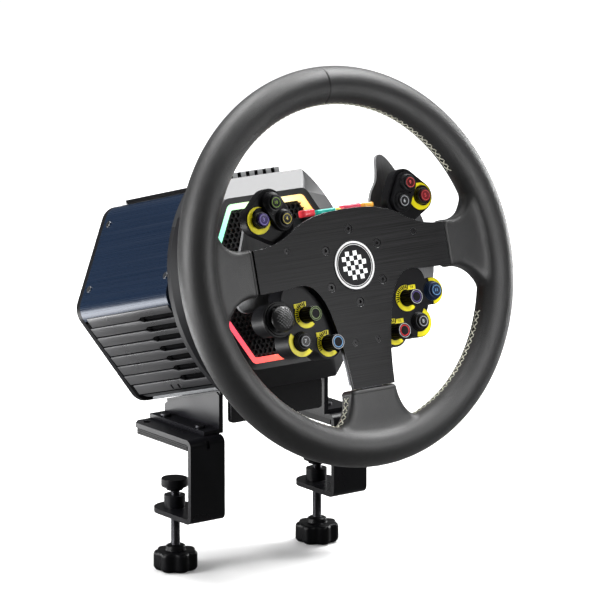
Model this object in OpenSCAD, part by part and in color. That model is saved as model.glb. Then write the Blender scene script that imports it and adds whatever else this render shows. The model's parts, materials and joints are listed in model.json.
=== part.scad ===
// Desk-clamped racing wheel: a three-spoke steering wheel with button pods on a
// hexagonal direct-drive base, held to a table top by a bent-steel stand.
// Row frame: X to the driver's right, Y away from the driver, Z up. The origin is
// the middle of the table's front top edge. The wheel and base are drawn in a
// tilted drive frame: x to the right, y is depth behind the wheel, z up the wheel.

/* [Steering wheel] */
// Radius of the rim tube's centre line
rim_r = 145; // [135:1:152]
// Radius of the leather-covered rim tube
tube_r = 15; // [13.5:0.1:15.5]
// Radius of the ring core inside the leather
core_r = 10; // [8:0.5:11]
// Depth of the faceplate's front, ahead of the rim's centre plane
plate_front = 7.5; // [7:0.1:8]
// Thickness of the brushed faceplate
plate_t = 3; // [2.6:0.1:3.4]
// Radius of the circle of hub bolts
bolt_circle_r = 29.3; // [28.5:0.1:30]
// Radius of the round badge
badge_r = 20; // [16:0.5:21]

/* [Placement] */
// Backward tilt of the wheel and base
tilt = 16; // [15.5:0.1:16.5]
// Distance of the wheel's centre in front of the table edge
wheel_y = 97; // [96.5:0.1:97.5]
// Height of the wheel's centre above the table top
wheel_z = 159; // [158.8:0.1:159.4]

/* [Controls] */
// Radius of a push button's cap
button_r = 5; // [4.4:0.1:5.2]
// Radius of an encoder knob
encoder_r = 6.2; // [5.8:0.1:6.6]
// Height of an encoder knob's face ahead of the rim's centre plane
encoder_face = 15; // [13:0.5:16]
// Radius of the thumb stick's domed cap
stick_r = 10; // [9:0.5:10]
// Running gap around buttons and small shafts
slide_gap = 0.08; // [0.06:0.01:0.1]

/* [Base] */
// Distance from the axis to the flats of the base's hexagonal body
body_a = 81.5; // [81:0.1:82]
// Bend radius of the body's corners
body_bend = 16; // [12:1:20]
// Depth at which the body panels start
body_front = 127; // [126.5:0.1:127.5]
// Depth at which the body panels end
body_back = 256; // [255:0.5:257]
// Distance from the axis to the flats of the light ring's outside
light_a = 65; // [64:0.1:65.4]
// Width of the light ring
light_w = 4.8; // [4:0.1:5.5]
// Radius of the motor's bore
motor_r = 68.2; // [67:0.1:69]

/* [Stand] */
// Distance from the middle to a clamp screw's axis
screw_x = 72; // [72:0.5:72.5]
// Distance from the table edge to a clamp screw's axis
screw_y = 43; // [41:0.5:44]
// Width of a clamp's steel strip
strip_w = 34; // [33.5:0.1:34.5]
// Thickness of the steel strip
strip_t = 4; // [3.8:0.1:4.1]
// Radius of a clamp screw
screw_r = 4; // [3.9:0.01:4.02]
// Thickness of the rubber under the stand
pad_t = 5.5; // [5:0.1:5.6]

/* [Hidden] */
$fn = 64;

touch = 0.02;                        // gap between pieces that rest on each other
armature_t = 3.5;                    // thickness of the armature's plate
armature_front = plate_t - plate_front;
armature_back = armature_front + armature_t;
pod_wall = 2;
upper_back = 6.6;                    // depth at which an upper pod ends
lower_back = 16;                     // depth at which a lower pod ends
upper_board = 4.5;
lower_board = 6;
board_t = 1.6;
case_back = 20;
case_r = 43.4;
case_top = 43.6;
hub_flange_r = 36;
hub_barrel_r = 28;
spigot_r = 20;
hex_corner = 30;                     // half the turn between a hexagon's flats
pivot_x = 40;                        // paddle pin, sideways from the axis
pivot_y = 25;                        // paddle pin, depth
foot_top = -33;
strip_x = screw_x - strip_w / 2;
strip_top = pad_t + strip_t;
leg_bottom = -61;

// Button centres in the wheel's plane, given for the right-hand side
upper_spots = [[66.4, 58.3], [79.9, 46.3], [58.5, 44.5]];
stick_spot = [76.5, -32.5];
outer_spot = [76, -30];
inner_spot = [58.4, -52.8];
encoder_spots = [[50, -32.5], [33, -57.5]];

// ---------- shared geometry ----------

// Tilted frame of the wheel and base
module drive() {
    translate([0, -wheel_y, wheel_z]) rotate([-tilt, 0, 0]) children();
}

// A 2D outline in the wheel's plane, filled from one depth to another
module plate(from, to) {
    translate([0, to, 0]) rotate([90, 0, 0]) linear_extrude(height = to - from) children();
}

// A round bar along the depth direction
module rod(r, from, to, at = [0, 0]) {
    translate([at[0], to, at[1]]) rotate([90, 0, 0]) cylinder(r = r, h = to - from);
}

// A tube along the depth direction
module sleeve(r_out, r_in, from, to, at = [0, 0]) {
    difference() {
        rod(r_out, from, to, at);
        rod(r_in, from - 1, to + 1, at);
    }
}

function reversed(p) = [for (i = [len(p) - 1:-1:0]) p[i]];

function mirrored(p) = [for (q = reversed(p)) [-q[0], q[1]]];

// Twice the signed area inside a loop of points, positive when it runs anticlockwise
function loop_area(p, i = 0) = i == len(p) ? 0 :
    p[i][0] * p[(i + 1) % len(p)][1] - p[(i + 1) % len(p)][0] * p[i][1] + loop_area(p, i + 1);

function heading(d) = atan2(d[1], d[0]);

// Outline at distance r around a convex loop of points, with an arc at each point
function rounded_loop(points, r, arc_step = 12) = let (
        p = loop_area(points) < 0 ? reversed(points) : points,
        n = len(p)
    ) [
    for (i = [0:n - 1])
        let (
            from = heading(p[i] - p[(i + n - 1) % n]) - 90,
            sweep = (heading(p[(i + 1) % n] - p[i]) - 90 - from + 720) % 360,
            steps = max(1, ceil(sweep / arc_step))
        )
        for (k = [0:steps]) p[i] + r * [cos(from + sweep * k / steps), sin(from + sweep * k / steps)]
];

module blob(points, r) {
    polygon(rounded_loop(points, r));
}

// Smooth open curve through points (Catmull-Rom), with n steps to a span
function curve(p, n) = [
    for (i = [0:len(p) - 2]) for (s = [0:n - 1])
        let (
            t = s / n,
            a = p[max(i - 1, 0)],
            b = p[i],
            c = p[i + 1],
            d = p[min(i + 2, len(p) - 1)]
        )
        0.5 * (2 * b + (c - a) * t + (2 * a - 5 * b + 4 * c - d) * t * t
            + (3 * b - a - 3 * c + d) * t * t * t),
    p[len(p) - 1]
];

// Hexagon with flats at distance a and bent corners of radius r
function bent_hexagon(a, r) = [
    for (k = [0:5]) for (s = [-hex_corner:7.5:hex_corner])
        let (c = (a - r) / cos(hex_corner))
        [c * cos(60 * k) + r * cos(60 * k + s), c * sin(60 * k) + r * sin(60 * k + s)]
];

module hex_shape(a, r) {
    polygon(bent_hexagon(a, r));
}

// Local frame on a face of the base: x outward, y depth, z along the face
module on_face(angle) {
    rotate([0, -angle, 0]) children();
}

module both_sides() {
    children();
    mirror([1, 0, 0]) children();
}

// ---------- wheel outlines ----------

plate_top_y = 45.5;
plate_half = 94;
bottom_arm_y = -97;
shoulder = curve([[0, plate_top_y], [18, 44.8], [34, 42.2], [48, 37.4], [60, 30.8],
    [72, 26.2], [84, 24], [plate_half, 23.5]], 5);
hip = curve([[plate_half, -11.5], [70, -10.8], [54, -9.6], [45, -12], [37.5, -19.5],
    [32, -30], [28.5, -42], [25.6, -55], [23, -68], [21.4, -82], [20.5, bottom_arm_y]], 5);
right_half = concat(shoulder, hip);
plate_outline = concat(right_half, mirrored(right_half));

// Leather spoke on the right-hand side and the one at the bottom
side_upper = curve([[94.4, 24.6], [104, 25], [112, 27], [118, 31.5], [124, 42]], 5);
side_lower = curve([[127, -32], [119, -21.5], [112, -16.5], [104, -13.6], [94.4, -12.6]], 5);
side_spoke = concat(side_upper, [[138, 34], [142, 0], [138, -26]], side_lower);
foot_right = curve([[21.6, bottom_arm_y - 0.4], [24.5, -106], [28.5, -116], [35, -123.5],
    [46, -129]], 5);
bottom_spoke = concat(foot_right, [[40, -137], [-40, -137]], mirrored(foot_right));

plate_screw_spots = [[62.7, 19.5], [-62.7, 19.5], [11.3, -60.7], [-11.3, -60.7]];
function hub_spot(k) = bolt_circle_r * [cos(90 + 60 * k), sin(90 + 60 * k)];

// ---------- steering wheel ----------

module arms(grow, from, to) {
    both_sides() translate([60, from, -4 - grow]) cube([rim_r - 60, to - from, 20 + 2 * grow]);
    translate([-10 - grow, from, -rim_r]) cube([20 + 2 * grow, to - from, 60]);
}

module rim_armature() {
    inset = 0.965;
    color("#4a4c50") drive() difference() {
        union() {
            plate(armature_front, armature_back) polygon([for (p = plate_outline) p * inset]);
            arms(0, armature_front, armature_back);
            rotate([90, 0, 0]) rotate_extrude($fn = 128)
                translate([rim_r, 0]) circle(r = core_r, $fn = 48);
        }
        for (k = [0:5]) rod(2.1, -10, 2, hub_spot(k));
        for (p = plate_screw_spots) rod(1.25, -10, 2, p);
    }
}

module rim_wrap() {
    spoke_front = -7.3;
    spoke_back = 9;
    color("#2b2b2d") drive() difference() {
        union() {
            rotate([90, 0, 0]) rotate_extrude($fn = 128)
                translate([rim_r, 0]) circle(r = tube_r, $fn = 64);
            both_sides() plate(spoke_front, spoke_back) polygon(side_spoke);
            plate(spoke_front, spoke_back) polygon(bottom_spoke);
        }
        rotate([90, 0, 0]) rotate_extrude($fn = 128)
            translate([rim_r, 0]) circle(r = core_r + touch, $fn = 48);
        arms(touch, armature_front - touch, armature_back + touch);
    }
}

module faceplate() {
    color("#1d1d1f") drive() difference() {
        plate(-plate_front, armature_front - touch) polygon(plate_outline);
        for (k = [0:5]) rod(3.7, -10, 0, hub_spot(k));
        for (p = plate_screw_spots) {
            rod(2.6, -10, -plate_front + 1.6, p);
            rod(1.3, -10, 0, p);
        }
        rod(badge_r + touch, -10, -plate_front + 0.8);
    }
}

// Socket-head screw pointing away from the driver
module socket_screw(head_r, head_h, shank_r, length, socket_r) {
    difference() {
        union() {
            rod(head_r, 0, head_h);
            rod(shank_r, head_h, head_h + length);
        }
        translate([0, head_h * 0.6, 0]) rotate([90, 0, 0]) cylinder(r = socket_r, h = 5, $fn = 6);
    }
}

module hub_bolts() {
    head_h = 2.6;
    color("#0c0c0d") drive() for (k = [0:5])
        translate([hub_spot(k)[0], armature_front - touch - head_h, hub_spot(k)[1]])
            socket_screw(3.5, head_h, 2, 8.5, 1.5);
}

module plate_screws() {
    color("#0c0c0d") drive() for (p = plate_screw_spots)
        translate([p[0], -plate_front + 0.3, p[1]]) socket_screw(2.5, 1.2, 1.2, 4.5, 1);
}

module badge() {
    color("#101012") drive() rod(badge_r, -plate_front - 0.3, -plate_front + 0.78);
}

// ---------- button pods ----------

// Upper pod on the right-hand side; its raised deck carries two of the buttons
upper_loop = [upper_spots[0], upper_spots[1], [60, 36], upper_spots[2]];
module upper_pod() {
    lobe = 12;
    deck_front = -5;
    difference() {
        union() {
            plate(armature_back + touch, upper_back) blob(upper_loop, lobe);
            plate(deck_front, armature_back + 2) blob([upper_spots[0], upper_spots[2]], 9);
        }
        plate(armature_back + pod_wall, upper_back + 1) blob(upper_loop, lobe - pod_wall);
        plate(deck_front - 1, armature_back) polygon(plate_outline);
        for (p = upper_spots) rod(button_r + slide_gap, -20, 5, p);
        rod(1.2, -20, deck_front + 3, [67.5, 50.5]);
    }
}

// Round opening for the thumb stick, with holes for the gimbal's pivots
gimbal_y = 4;
stick_hole_r = 10.6;
stick_collar_r = 12.7;
pivot_hole_r = 1.26;
pivot_reach = 12.2;
module stick_socket() {
    at = [stick_spot[0], stick_spot[1]];
    rod(stick_hole_r, -20, 14, at);
    translate([at[0] - pivot_reach, gimbal_y, at[1]]) rotate([0, 90, 0])
        cylinder(r = pivot_hole_r, h = 2 * pivot_reach);
}

// Outline of a lower pod: a body with separate lobes for its controls
lower_loop = [[60, -19.5], [54, -19], [36, -40], encoder_spots[1], [60, -38]];
stick_lobe = 13;
button_lobe = 11;
module lower_shape(outer, outer_r, grow) {
    blob(lower_loop, 11 + grow);
    translate(encoder_spots[1]) circle(r = 12.3 + grow);
    translate(inner_spot) circle(r = 12.6 + grow);
    translate(outer) circle(r = outer_r + grow);
}

module lower_pod(with_stick) {
    outer = with_stick ? stick_spot : outer_spot;
    outer_r = with_stick ? stick_lobe : button_lobe;
    difference() {
        union() {
            plate(armature_back + touch, lower_back) lower_shape(outer, outer_r, 0);
            if (with_stick) rod(stick_collar_r, -3, 4, outer);
        }
        difference() {
            plate(armature_back + pod_wall, lower_back + 1) lower_shape(outer, outer_r, -pod_wall);
            if (with_stick) rod(stick_collar_r, -20, lower_back + 2, outer);
        }
        for (p = encoder_spots) rod(3 + slide_gap, -20, 5, p);
        rod(button_r + slide_gap, -20, 5, inner_spot);
        if (with_stick) stick_socket();
        else rod(button_r + slide_gap, -20, 5, outer);
    }
}

module pod_upper_left() {
    color("#171718") drive() mirror([1, 0, 0]) upper_pod();
}

module pod_upper_right() {
    color("#171718") drive() upper_pod();
}

module pod_lower_left() {
    color("#171718") drive() mirror([1, 0, 0]) lower_pod(true);
}

module pod_lower_right() {
    color("#171718") drive() lower_pod(false);
}

// Back of a pod: the outline given, with two posts that carry the pod's board
module cover(back, thickness, board, posts) {
    plate(back + touch, back + thickness) children();
    for (p = posts) rod(2.5, board + board_t + touch, back + thickness, p);
}

upper_posts = [[70, 49], [60, 35]];
lower_posts = [[44, -45], [60, -36]];
module pod_covers() {
    fit = -0.1;
    color("#141415") drive() {
        both_sides() cover(upper_back, 1.5, upper_board, upper_posts)
            blob(upper_loop, 12 + fit);
        cover(lower_back, 2, lower_board, lower_posts)
            lower_shape(outer_spot, button_lobe, fit);
        mirror([1, 0, 0]) cover(lower_back, 2, lower_board, lower_posts)
            lower_shape(stick_spot, stick_lobe, fit);
    }
}

// Yellow plate around an encoder: an open ring with a square number tab
module ring_sector(r_out, r_in, from_angle, to_angle) {
    reach = 2 * r_out;
    steps = 6;
    difference() {
        circle(r = r_out);
        circle(r = r_in);
        polygon(concat([[0, 0]], [for (s = [0:steps])
            let (a = to_angle + (from_angle + 360 - to_angle) * s / steps)
            reach * [cos(a), sin(a)]]));
    }
}

module encoder_scale(at, tab_x) {
    tab = [8.6, 3.6];
    translate(at) {
        ring_sector(10.6, 6.9, 80, 310);
        translate([tab_x - tab[0] / 2, 6.2]) square(tab);
    }
}

// Yellow crescent beside an upper button, with pointed ends; its opening lies toward shift
module crescent(at, shift) {
    difference() {
        translate(at) circle(r = 10.9);
        translate(at + shift) circle(r = 8.4);
    }
}

tab_offset = 5.9;
module scale_plates() {
    front = armature_back + touch - 0.5;
    color("#e8d21c") drive() difference() {
        plate(front, armature_back) {
            for (p = encoder_spots) {
                encoder_scale([-p[0], p[1]], -tab_offset);
                encoder_scale(p, tab_offset);
            }
            translate([-inner_spot[0], inner_spot[1]]) ring_sector(12, 8, 140, 315);
            translate(inner_spot) ring_sector(12, 7, 250, 415);
            translate(outer_spot) ring_sector(10.6, 6, 270, 460);
            crescent([-upper_spots[1][0], upper_spots[1][1]], [2.2, 1.6]);
            crescent(upper_spots[1], [2.4, 0.5]);
        }
        plate(front - 1, armature_back + 1) {
            for (s = [-1, 1]) blob([for (k = [0, 2]) [s * upper_spots[k][0], upper_spots[k][1]]], 9.1);
            polygon(plate_outline);
        }
    }
}

// ---------- wheel electronics ----------

module case_shape(grow) {
    difference() {
        union() {
            blob([[-42, 10], [42, 10]], 24 + grow);
            circle(r = case_r + grow);
            translate([-36 - grow, 20]) square([72 + 2 * grow, case_top - 20 + grow]);
        }
        for (s = [-1, 1]) {
            blob([for (p = upper_loop) [s * p[0], p[1]]], 12.3 - grow);
            blob([for (p = lower_loop) [s * p[0], p[1]]], 11.3 - grow);
        }
        circle(r = hub_flange_r + 0.5 - grow);
    }
}

module paddle_lug(z) {
    translate([pivot_x - 4, case_back - 1, z]) cube([8, pivot_y - case_back + 1, 4]);
    translate([pivot_x, pivot_y, z]) cylinder(r = 4, h = 4);
}

module rear_case() {
    color("#19191a") drive() difference() {
        union() {
            plate(armature_back + touch, case_back) case_shape(0);
            both_sides() {
                paddle_lug(10);
                paddle_lug(-14);
            }
        }
        plate(-5, case_back - pod_wall) case_shape(-pod_wall);
        both_sides() translate([pivot_x, pivot_y, -20]) cylinder(r = 2.02, h = 40);
    }
}

// Circuit boards: one in each pod and one around the hub
module control_boards() {
    color("#1f5a35") drive() {
        both_sides() plate(upper_board, upper_board + board_t) blob(upper_loop, 9.6);
        plate(lower_board, lower_board + board_t) {
            blob(lower_loop, 8.6);
            mirror([1, 0, 0]) difference() {
                blob(lower_loop, 8.6);
                translate(stick_spot) circle(r = 13.4);
            }
            both_sides() translate([40.5, -2]) square([17.5, 21]);
        }
    }
}

// Coloured lenses of the light strip along the plate's top edge
module light_lenses() {
    starts = [-35, -22.6, -2.4, 4.4, 24.4];
    widths = [12, 20, 5, 18, 10.6];
    color("#d8483c") drive() for (i = [0:len(starts) - 1])
        translate([starts[i], 0, 43.7]) cube([widths[i], 9, 6.6]);
}

// ---------- quick release and paddles ----------

module wheel_hub() {
    color("#2a2b2e") drive() difference() {
        union() {
            rod(hub_flange_r, armature_back + touch, 5);
            rod(hub_barrel_r, 5, 46);
        }
        rod(spigot_r + 0.04, 14, 50);
        for (k = [0:5]) rod(2.05, -5, 6, hub_spot(k));
    }
}

module quick_release_collar() {
    grips = 10;
    color("#232427") drive() difference() {
        union() {
            rod(33, 30, 45);
            for (k = [0:grips - 1])
                rod(4, 32, 43, 31 * [cos(360 * k / grips), sin(360 * k / grips)]);
        }
        rod(hub_barrel_r + 0.05, 20, 50);
    }
}

// Swept blades; the right-hand one has a fin that stands above the upper pod
left_edge = curve([[46, 9], [46, 30], [43, 44], [37.5, 53], [36.5, 61], [41, 66.5], [49, 68.6],
    [58.9, 67.1], [66.3, 62.4], [72.7, 54.1], [78.5, 40], [84, 27], [92, 10], [96, -8],
    [94, -20], [84, -24], [64, -18], [46, -9]], 3);
right_edge = curve([[46, 9], [47, 30], [47.5, 46], [51, 56], [57, 64], [59.5, 74], [61, 83],
    [66, 85], [72, 80], [78, 71], [82.5, 60], [89, 47], [97, 30], [101, 10], [101, -10],
    [96, -22], [84, -24], [64, -18], [46, -9]], 3);
module paddle(edge) {
    difference() {
        union() {
            translate([pivot_x, pivot_y, -9.8]) cylinder(r = 4, h = 19.6);
            translate([pivot_x, pivot_y - 1.5, -9]) cube([8, 3, 18]);
            plate(pivot_y - 1.5, pivot_y + 1.5) polygon(edge);
        }
        translate([pivot_x, pivot_y, -20]) cylinder(r = 2.06, h = 40);
    }
}

module shift_paddle_left() {
    color("#3a3b3e") drive() mirror([1, 0, 0]) paddle(left_edge);
}

module shift_paddle_right() {
    color("#3a3b3e") drive() paddle(right_edge);
}

module paddle_pins() {
    color("#b8babd") drive() both_sides()
        translate([pivot_x, pivot_y, -15]) cylinder(r = 2, h = 30);
}

// ---------- controls ----------

// Push button: cap through the pod's wall, with a retaining flange and stem behind
module button(at, face) {
    color("#151516") drive() {
        rod(button_r, -face, 1.5, at);
        rod(button_r - 0.4, 1.2, 2.9, at);
        rod(button_r + 1, 1.1, 2.4, at);
    }
}

function left(p) = [-p[0], p[1]];

module button_10() {
    button(left(upper_spots[0]), 10);
}

module button_3() {
    button(left(upper_spots[1]), 9);
}

module button_4() {
    button(left(upper_spots[2]), 10);
}

module button_9() {
    button(upper_spots[0], 10);
}

module button_5() {
    button(upper_spots[1], 9);
}

module button_6() {
    button(upper_spots[2], 9);
}

module button_7() {
    button(left(inner_spot), 7.7);
}

module button_11() {
    button(outer_spot, 8);
}

module button_8() {
    button(inner_spot, 7.7);
}

// Rotary encoder: fluted knob in front of the pod, shaft and collar inside it
module encoder(at) {
    flutes = 12;
    color("#161617") drive() {
        difference() {
            rod(encoder_r, -encoder_face, -1.6, at);
            for (k = [0:flutes - 1])
                rod(0.8, -encoder_face + 1.6, 0,
                    at + (encoder_r + 0.3) * [cos(360 * k / flutes), sin(360 * k / flutes)]);
        }
        rod(3, -2, 4, at);
        rod(4.5, 1.1, 2.4, at);
    }
}

module encoder_green() {
    encoder(left(encoder_spots[0]));
}

module encoder_blue() {
    encoder(left(encoder_spots[1]));
}

module encoder_purple() {
    encoder(encoder_spots[0]);
}

module encoder_red() {
    encoder(encoder_spots[1]);
}

// Gimbal ring: rocks on pivots along x, and carries the stick's pivots along z
module stick_gimbal() {
    at = left(stick_spot);
    color("#55575a") drive() difference() {
        union() {
            sleeve(9.2, 6.4, gimbal_y - 2, gimbal_y + 2, at);
            for (s = [0, 180]) translate([at[0], gimbal_y, at[1]]) rotate([0, 90 + s, 0])
                translate([0, 0, 8]) cylinder(r = pivot_hole_r - 0.06, h = 4);
        }
        translate([at[0], gimbal_y, at[1] - 12]) cylinder(r = pivot_hole_r, h = 24);
    }
}

module thumb_stick() {
    at = left(stick_spot);
    dome_base = 7.5;
    dome_h = 6.5;
    color("#1b1b1c") drive() {
        translate([at[0], 0, at[1]]) rotate([90, 0, 0]) rotate_extrude() intersection() {
            translate([0, dome_base + dome_h - 11]) circle(r = 11);
            translate([0, dome_base]) square([stick_r, dome_h]);
        }
        rod(3, -dome_base - 0.5, gimbal_y + 2, at);
        translate([at[0], gimbal_y, at[1] - 8.6]) cylinder(r = pivot_hole_r - 0.06, h = 17.2);
    }
}

// ---------- drive ----------

module drive_shaft() {
    color("#9a9ca0") drive() {
        rod(spigot_r, 15, 47, [0, 0]);
        rod(32, 46.1, 53);
        rod(22, 52, 122);
        rod(16.97, 121, 140);
        rod(12, 139, 232);
        rod(9.97, 231, 248);
    }
}

rotor_from = 146;
rotor_to = 216;
module rotor() {
    color("#6d6f73") drive() sleeve(46, 12.02, rotor_from, rotor_to);
}

module stator() {
    slots = 12;
    color("#8a4a24") drive() difference() {
        rod(motor_r - touch, rotor_from - 4, rotor_to + 4);
        rod(46.8, rotor_from - 5, rotor_to + 5);
        for (k = [0:slots - 1])
            rod(4, rotor_from - 5, rotor_to + 5, 56 * [cos(30 * k), sin(30 * k)]);
    }
}

front_seat_r = 26;
rear_seat_r = 20;
module shaft_bearings() {
    color("#c4c6c9") drive() {
        sleeve(front_seat_r - touch, 17, 125, 134);
        sleeve(rear_seat_r - touch, 10, 238, 247);
    }
}

module main_board() {
    color("#1f5a35") drive() sleeve(60, 26, 228, 229.6);
}

// Cast housing: bearing wall at the front, bore for the stator, flats above and below
housing_a = 78.8;
housing_back = 254;
module motor_housing() {
    flat_half = 40;
    color("#2d2e31") drive() difference() {
        union() {
            plate(123.5, housing_back) hex_shape(housing_a, 13);
            for (s = [-1, 1]) translate([-flat_half, 128, s > 0 ? 70 : -body_a + touch])
                cube([2 * flat_half, 120, body_a - touch - 70]);
        }
        rod(motor_r, 140, housing_back + 1);
        rod(front_seat_r, 120, 134);
        rod(19, 120, 141);
        for (p = cradle_bolt_spots) translate([p[0], p[1], -body_a]) cylinder(r = 3.05, h = 14);
    }
}
cradle_bolt_spots = [[-32, 146], [32, 146], [-32, 192], [32, 192]];

// ---------- base covers ----------

flange_front = 118;
flange_back = 123.4;
module flange_shape(grow) {
    reach = 119 + grow;
    intersection() {
        translate([-28, 0]) circle(r = reach, $fn = 128);
        translate([28, 0]) circle(r = reach, $fn = 128);
        square([240, 172 + 2 * grow], center = true);
    }
}

// Front shroud: hexagonal bezel that widens to the round-cheeked flange
module front_shroud() {
    bezel_front = 98;
    wall = 4;
    thin = 0.2;
    color("#202124") drive() difference() {
        union() {
            hull() {
                plate(bezel_front, bezel_front + thin) hex_shape(70, 8);
                plate(flange_front, flange_front + thin) flange_shape(0);
            }
            plate(flange_front, flange_back) flange_shape(0);
        }
        plate(bezel_front - 1, bezel_front + 8) hex_shape(light_a + 0.1, 6);
        hull() {
            plate(bezel_front + 7, bezel_front + 7 + thin) hex_shape(light_a, 6);
            plate(flange_back, flange_back + 1) flange_shape(-2 * wall);
        }
    }
}

module light_ring() {
    color("#f2b04a") drive() plate(98.6, 104) difference() {
        hex_shape(light_a, 6);
        hex_shape(light_a - light_w, 3);
    }
}

// Honeycomb plate behind the light ring
module mesh_grille() {
    pitch = 9;
    cell_r = 4.4;
    rows = 7;
    reach = light_a - light_w - 8;
    color("#0e0e10") drive() plate(101, 103.5) difference() {
        hex_shape(light_a - light_w - 0.1, 3);
        circle(r = 23);
        for (j = [-rows:rows]) for (i = [-rows:rows]) {
            c = [(i + j / 2) * pitch, j * pitch * cos(30)];
            edge = max([for (a = [30:60:330]) c * [cos(a), sin(a)]]);
            if (norm(c) > 30 && edge < reach) translate(c) circle(r = cell_r, $fn = 6);
        }
    }
}

// Wedge of the plane between two directions, as seen from the axis
module wedge(from_angle, to_angle) {
    reach = 160;
    steps = 5;
    polygon(concat([[0, 0]], [for (s = [0:steps])
        let (a = from_angle + (to_angle - from_angle) * s / steps) reach * [cos(a), sin(a)]]));
}

// Part of the body's bent skin between two directions
module skin(from_angle, to_angle, from, to) {
    plate(from, to) intersection() {
        difference() {
            hex_shape(body_a, body_bend);
            hex_shape(housing_a + 0.1, 13.1);
        }
        wedge(from_angle, to_angle);
    }
}

panel_screw_depths = [133.5, 248];
panel_screw_rows = [-31, 27.5];
module panel_screw_holes(r) {
    for (y = panel_screw_depths) for (z = panel_screw_rows)
        translate([body_a - 6, y, z]) rotate([0, 90, 0]) cylinder(r = r, h = 8);
}

module side_panel() {
    difference() {
        skin(117.7, 185.8, body_front, body_back);
        on_face(150) panel_screw_holes(2.1);
    }
}

module side_panel_left() {
    color("#1b2a49") drive() side_panel();
}

module side_panel_right() {
    color("#1b2a49") drive() mirror([1, 0, 0]) side_panel();
}

module panel_screws() {
    color("#2e3138") drive() both_sides() on_face(150)
        for (y = panel_screw_depths) for (z = panel_screw_rows)
            translate([0, y, z]) rotate([0, 90, 0]) {
                translate([0, 0, body_a + touch]) cylinder(r = 2.9, h = 1);
                translate([0, 0, housing_a + 0.2]) cylinder(r = 2, h = 3);
            }
}

// Ribbed lower side: seven grooves that open into vent slots at the front
module vent_panel() {
    slot_end = 174;
    groove_end = 252;
    difference() {
        skin(187.3, 237, body_front, body_back);
        on_face(210) for (z = [-30:10:30]) {
            translate([body_a - 5, body_front + 3, z - 2]) cube([8, slot_end - body_front - 3, 4]);
            translate([body_a - 1.1, slot_end - 1, z - 0.6]) cube([8, groove_end - slot_end, 1.2]);
        }
        on_face(210) for (y = [186, 196]) translate([body_a - 1.1, y, 36.5]) cube([4, 2.4, 4]);
    }
}

module vent_panel_left() {
    color("#3a3b3d") drive() vent_panel();
}

module vent_panel_right() {
    color("#3a3b3d") drive() mirror([1, 0, 0]) vent_panel();
}

// Top cover with a row of cooling blocks at the front
module top_cover() {
    blocks = 10;
    pitch = 8.4;
    block_w = 5;
    ridge_z = 91;
    color("#18181a") drive() {
        translate([-41.5, 128, body_a + touch]) cube([83, 110, 3.4]);
        for (k = [0:blocks - 1])
            translate([(k - (blocks - 1) / 2) * pitch - block_w / 2, 129, body_a + 3])
                cube([block_w, 8, ridge_z - body_a - 3]);
        translate([-41.5, 133, body_a + 3]) cube([83, 4, ridge_z - body_a - 4.5]);
    }
}

// Rear cover with the rear bearing's seat and the cable sockets
module rear_cover() {
    back = 262;
    color("#161618") drive() difference() {
        union() {
            plate(body_back + touch, back) hex_shape(body_a, body_bend);
            rod(motor_r - 0.1, 248.5, body_back + 1);
            rod(25, 236, 250);
        }
        rod(rear_seat_r, 235, 247.4);
        rod(11, 235, 251);
        for (k = [-1:1]) translate([k * 26 - 8, back - 5, -44]) cube([16, 6, 12]);
        translate([-11, back - 5, 34]) cube([22, 6, 14]);
    }
}

// ---------- stand ----------

// Bent plate under the base: a tilted web, two side walls, feet and a front lip
cradle_half = 55;
wall_t = 4;
module stand_cradle() {
    foot_x = 70;
    wall_from = 4;
    wall_to = 81;
    color("#141416") difference() {
        union() {
            drive() translate([-cradle_half + 1, 129, -body_a - wall_t])
                cube([2 * cradle_half - 2, 78, wall_t - touch]);
            both_sides() {
                translate([cradle_half - wall_t, 0, 0]) rotate([90, 0, 90])
                    linear_extrude(height = wall_t)
                        polygon([[wall_from, strip_top + touch], [wall_to, strip_top + touch],
                            [wall_to, 19], [wall_to - 4, 22], [wall_from + 4, 43.2],
                            [wall_from, 41]]);
                translate([cradle_half - wall_t, wall_from, strip_top + touch])
                    cube([foot_x - cradle_half + wall_t, wall_to - wall_from, 3.5]);
            }
            translate([-45, 1, 18]) cube([90, 4, 24]);
        }
        drive() for (p = cradle_bolt_spots)
            translate([p[0], p[1], -body_a - 8]) cylinder(r = 3.2, h = 10);
        for (p = foot_bolt_spots) translate([p[0], p[1], 0]) cylinder(r = 2.6, h = 20);
    }
}

foot_bolt_spots = [for (x = [-64, 64]) for (y = [18, 66]) [x, y]];
module stand_bolts() {
    color("#2a2a2c") {
        drive() for (p = cradle_bolt_spots) translate([p[0], p[1], 0]) {
            translate([0, 0, -body_a - wall_t - 4.1]) cylinder(r = 5, h = 4);
            translate([0, 0, -body_a - wall_t - 1]) cylinder(r = 3, h = 15);
        }
        for (p = foot_bolt_spots) translate([p[0], p[1], strip_top + 3.6]) {
            cylinder(r = 4.3, h = 2.2);
            translate([0, 0, -7.6]) cylinder(r = 2.5, h = 8);
        }
    }
}

function arc(c, r, from_angle, to_angle, n = 6) = [
    for (s = [0:n]) let (a = from_angle + (to_angle - from_angle) * s / n)
        c + r * [cos(a), sin(a)]
];

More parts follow.
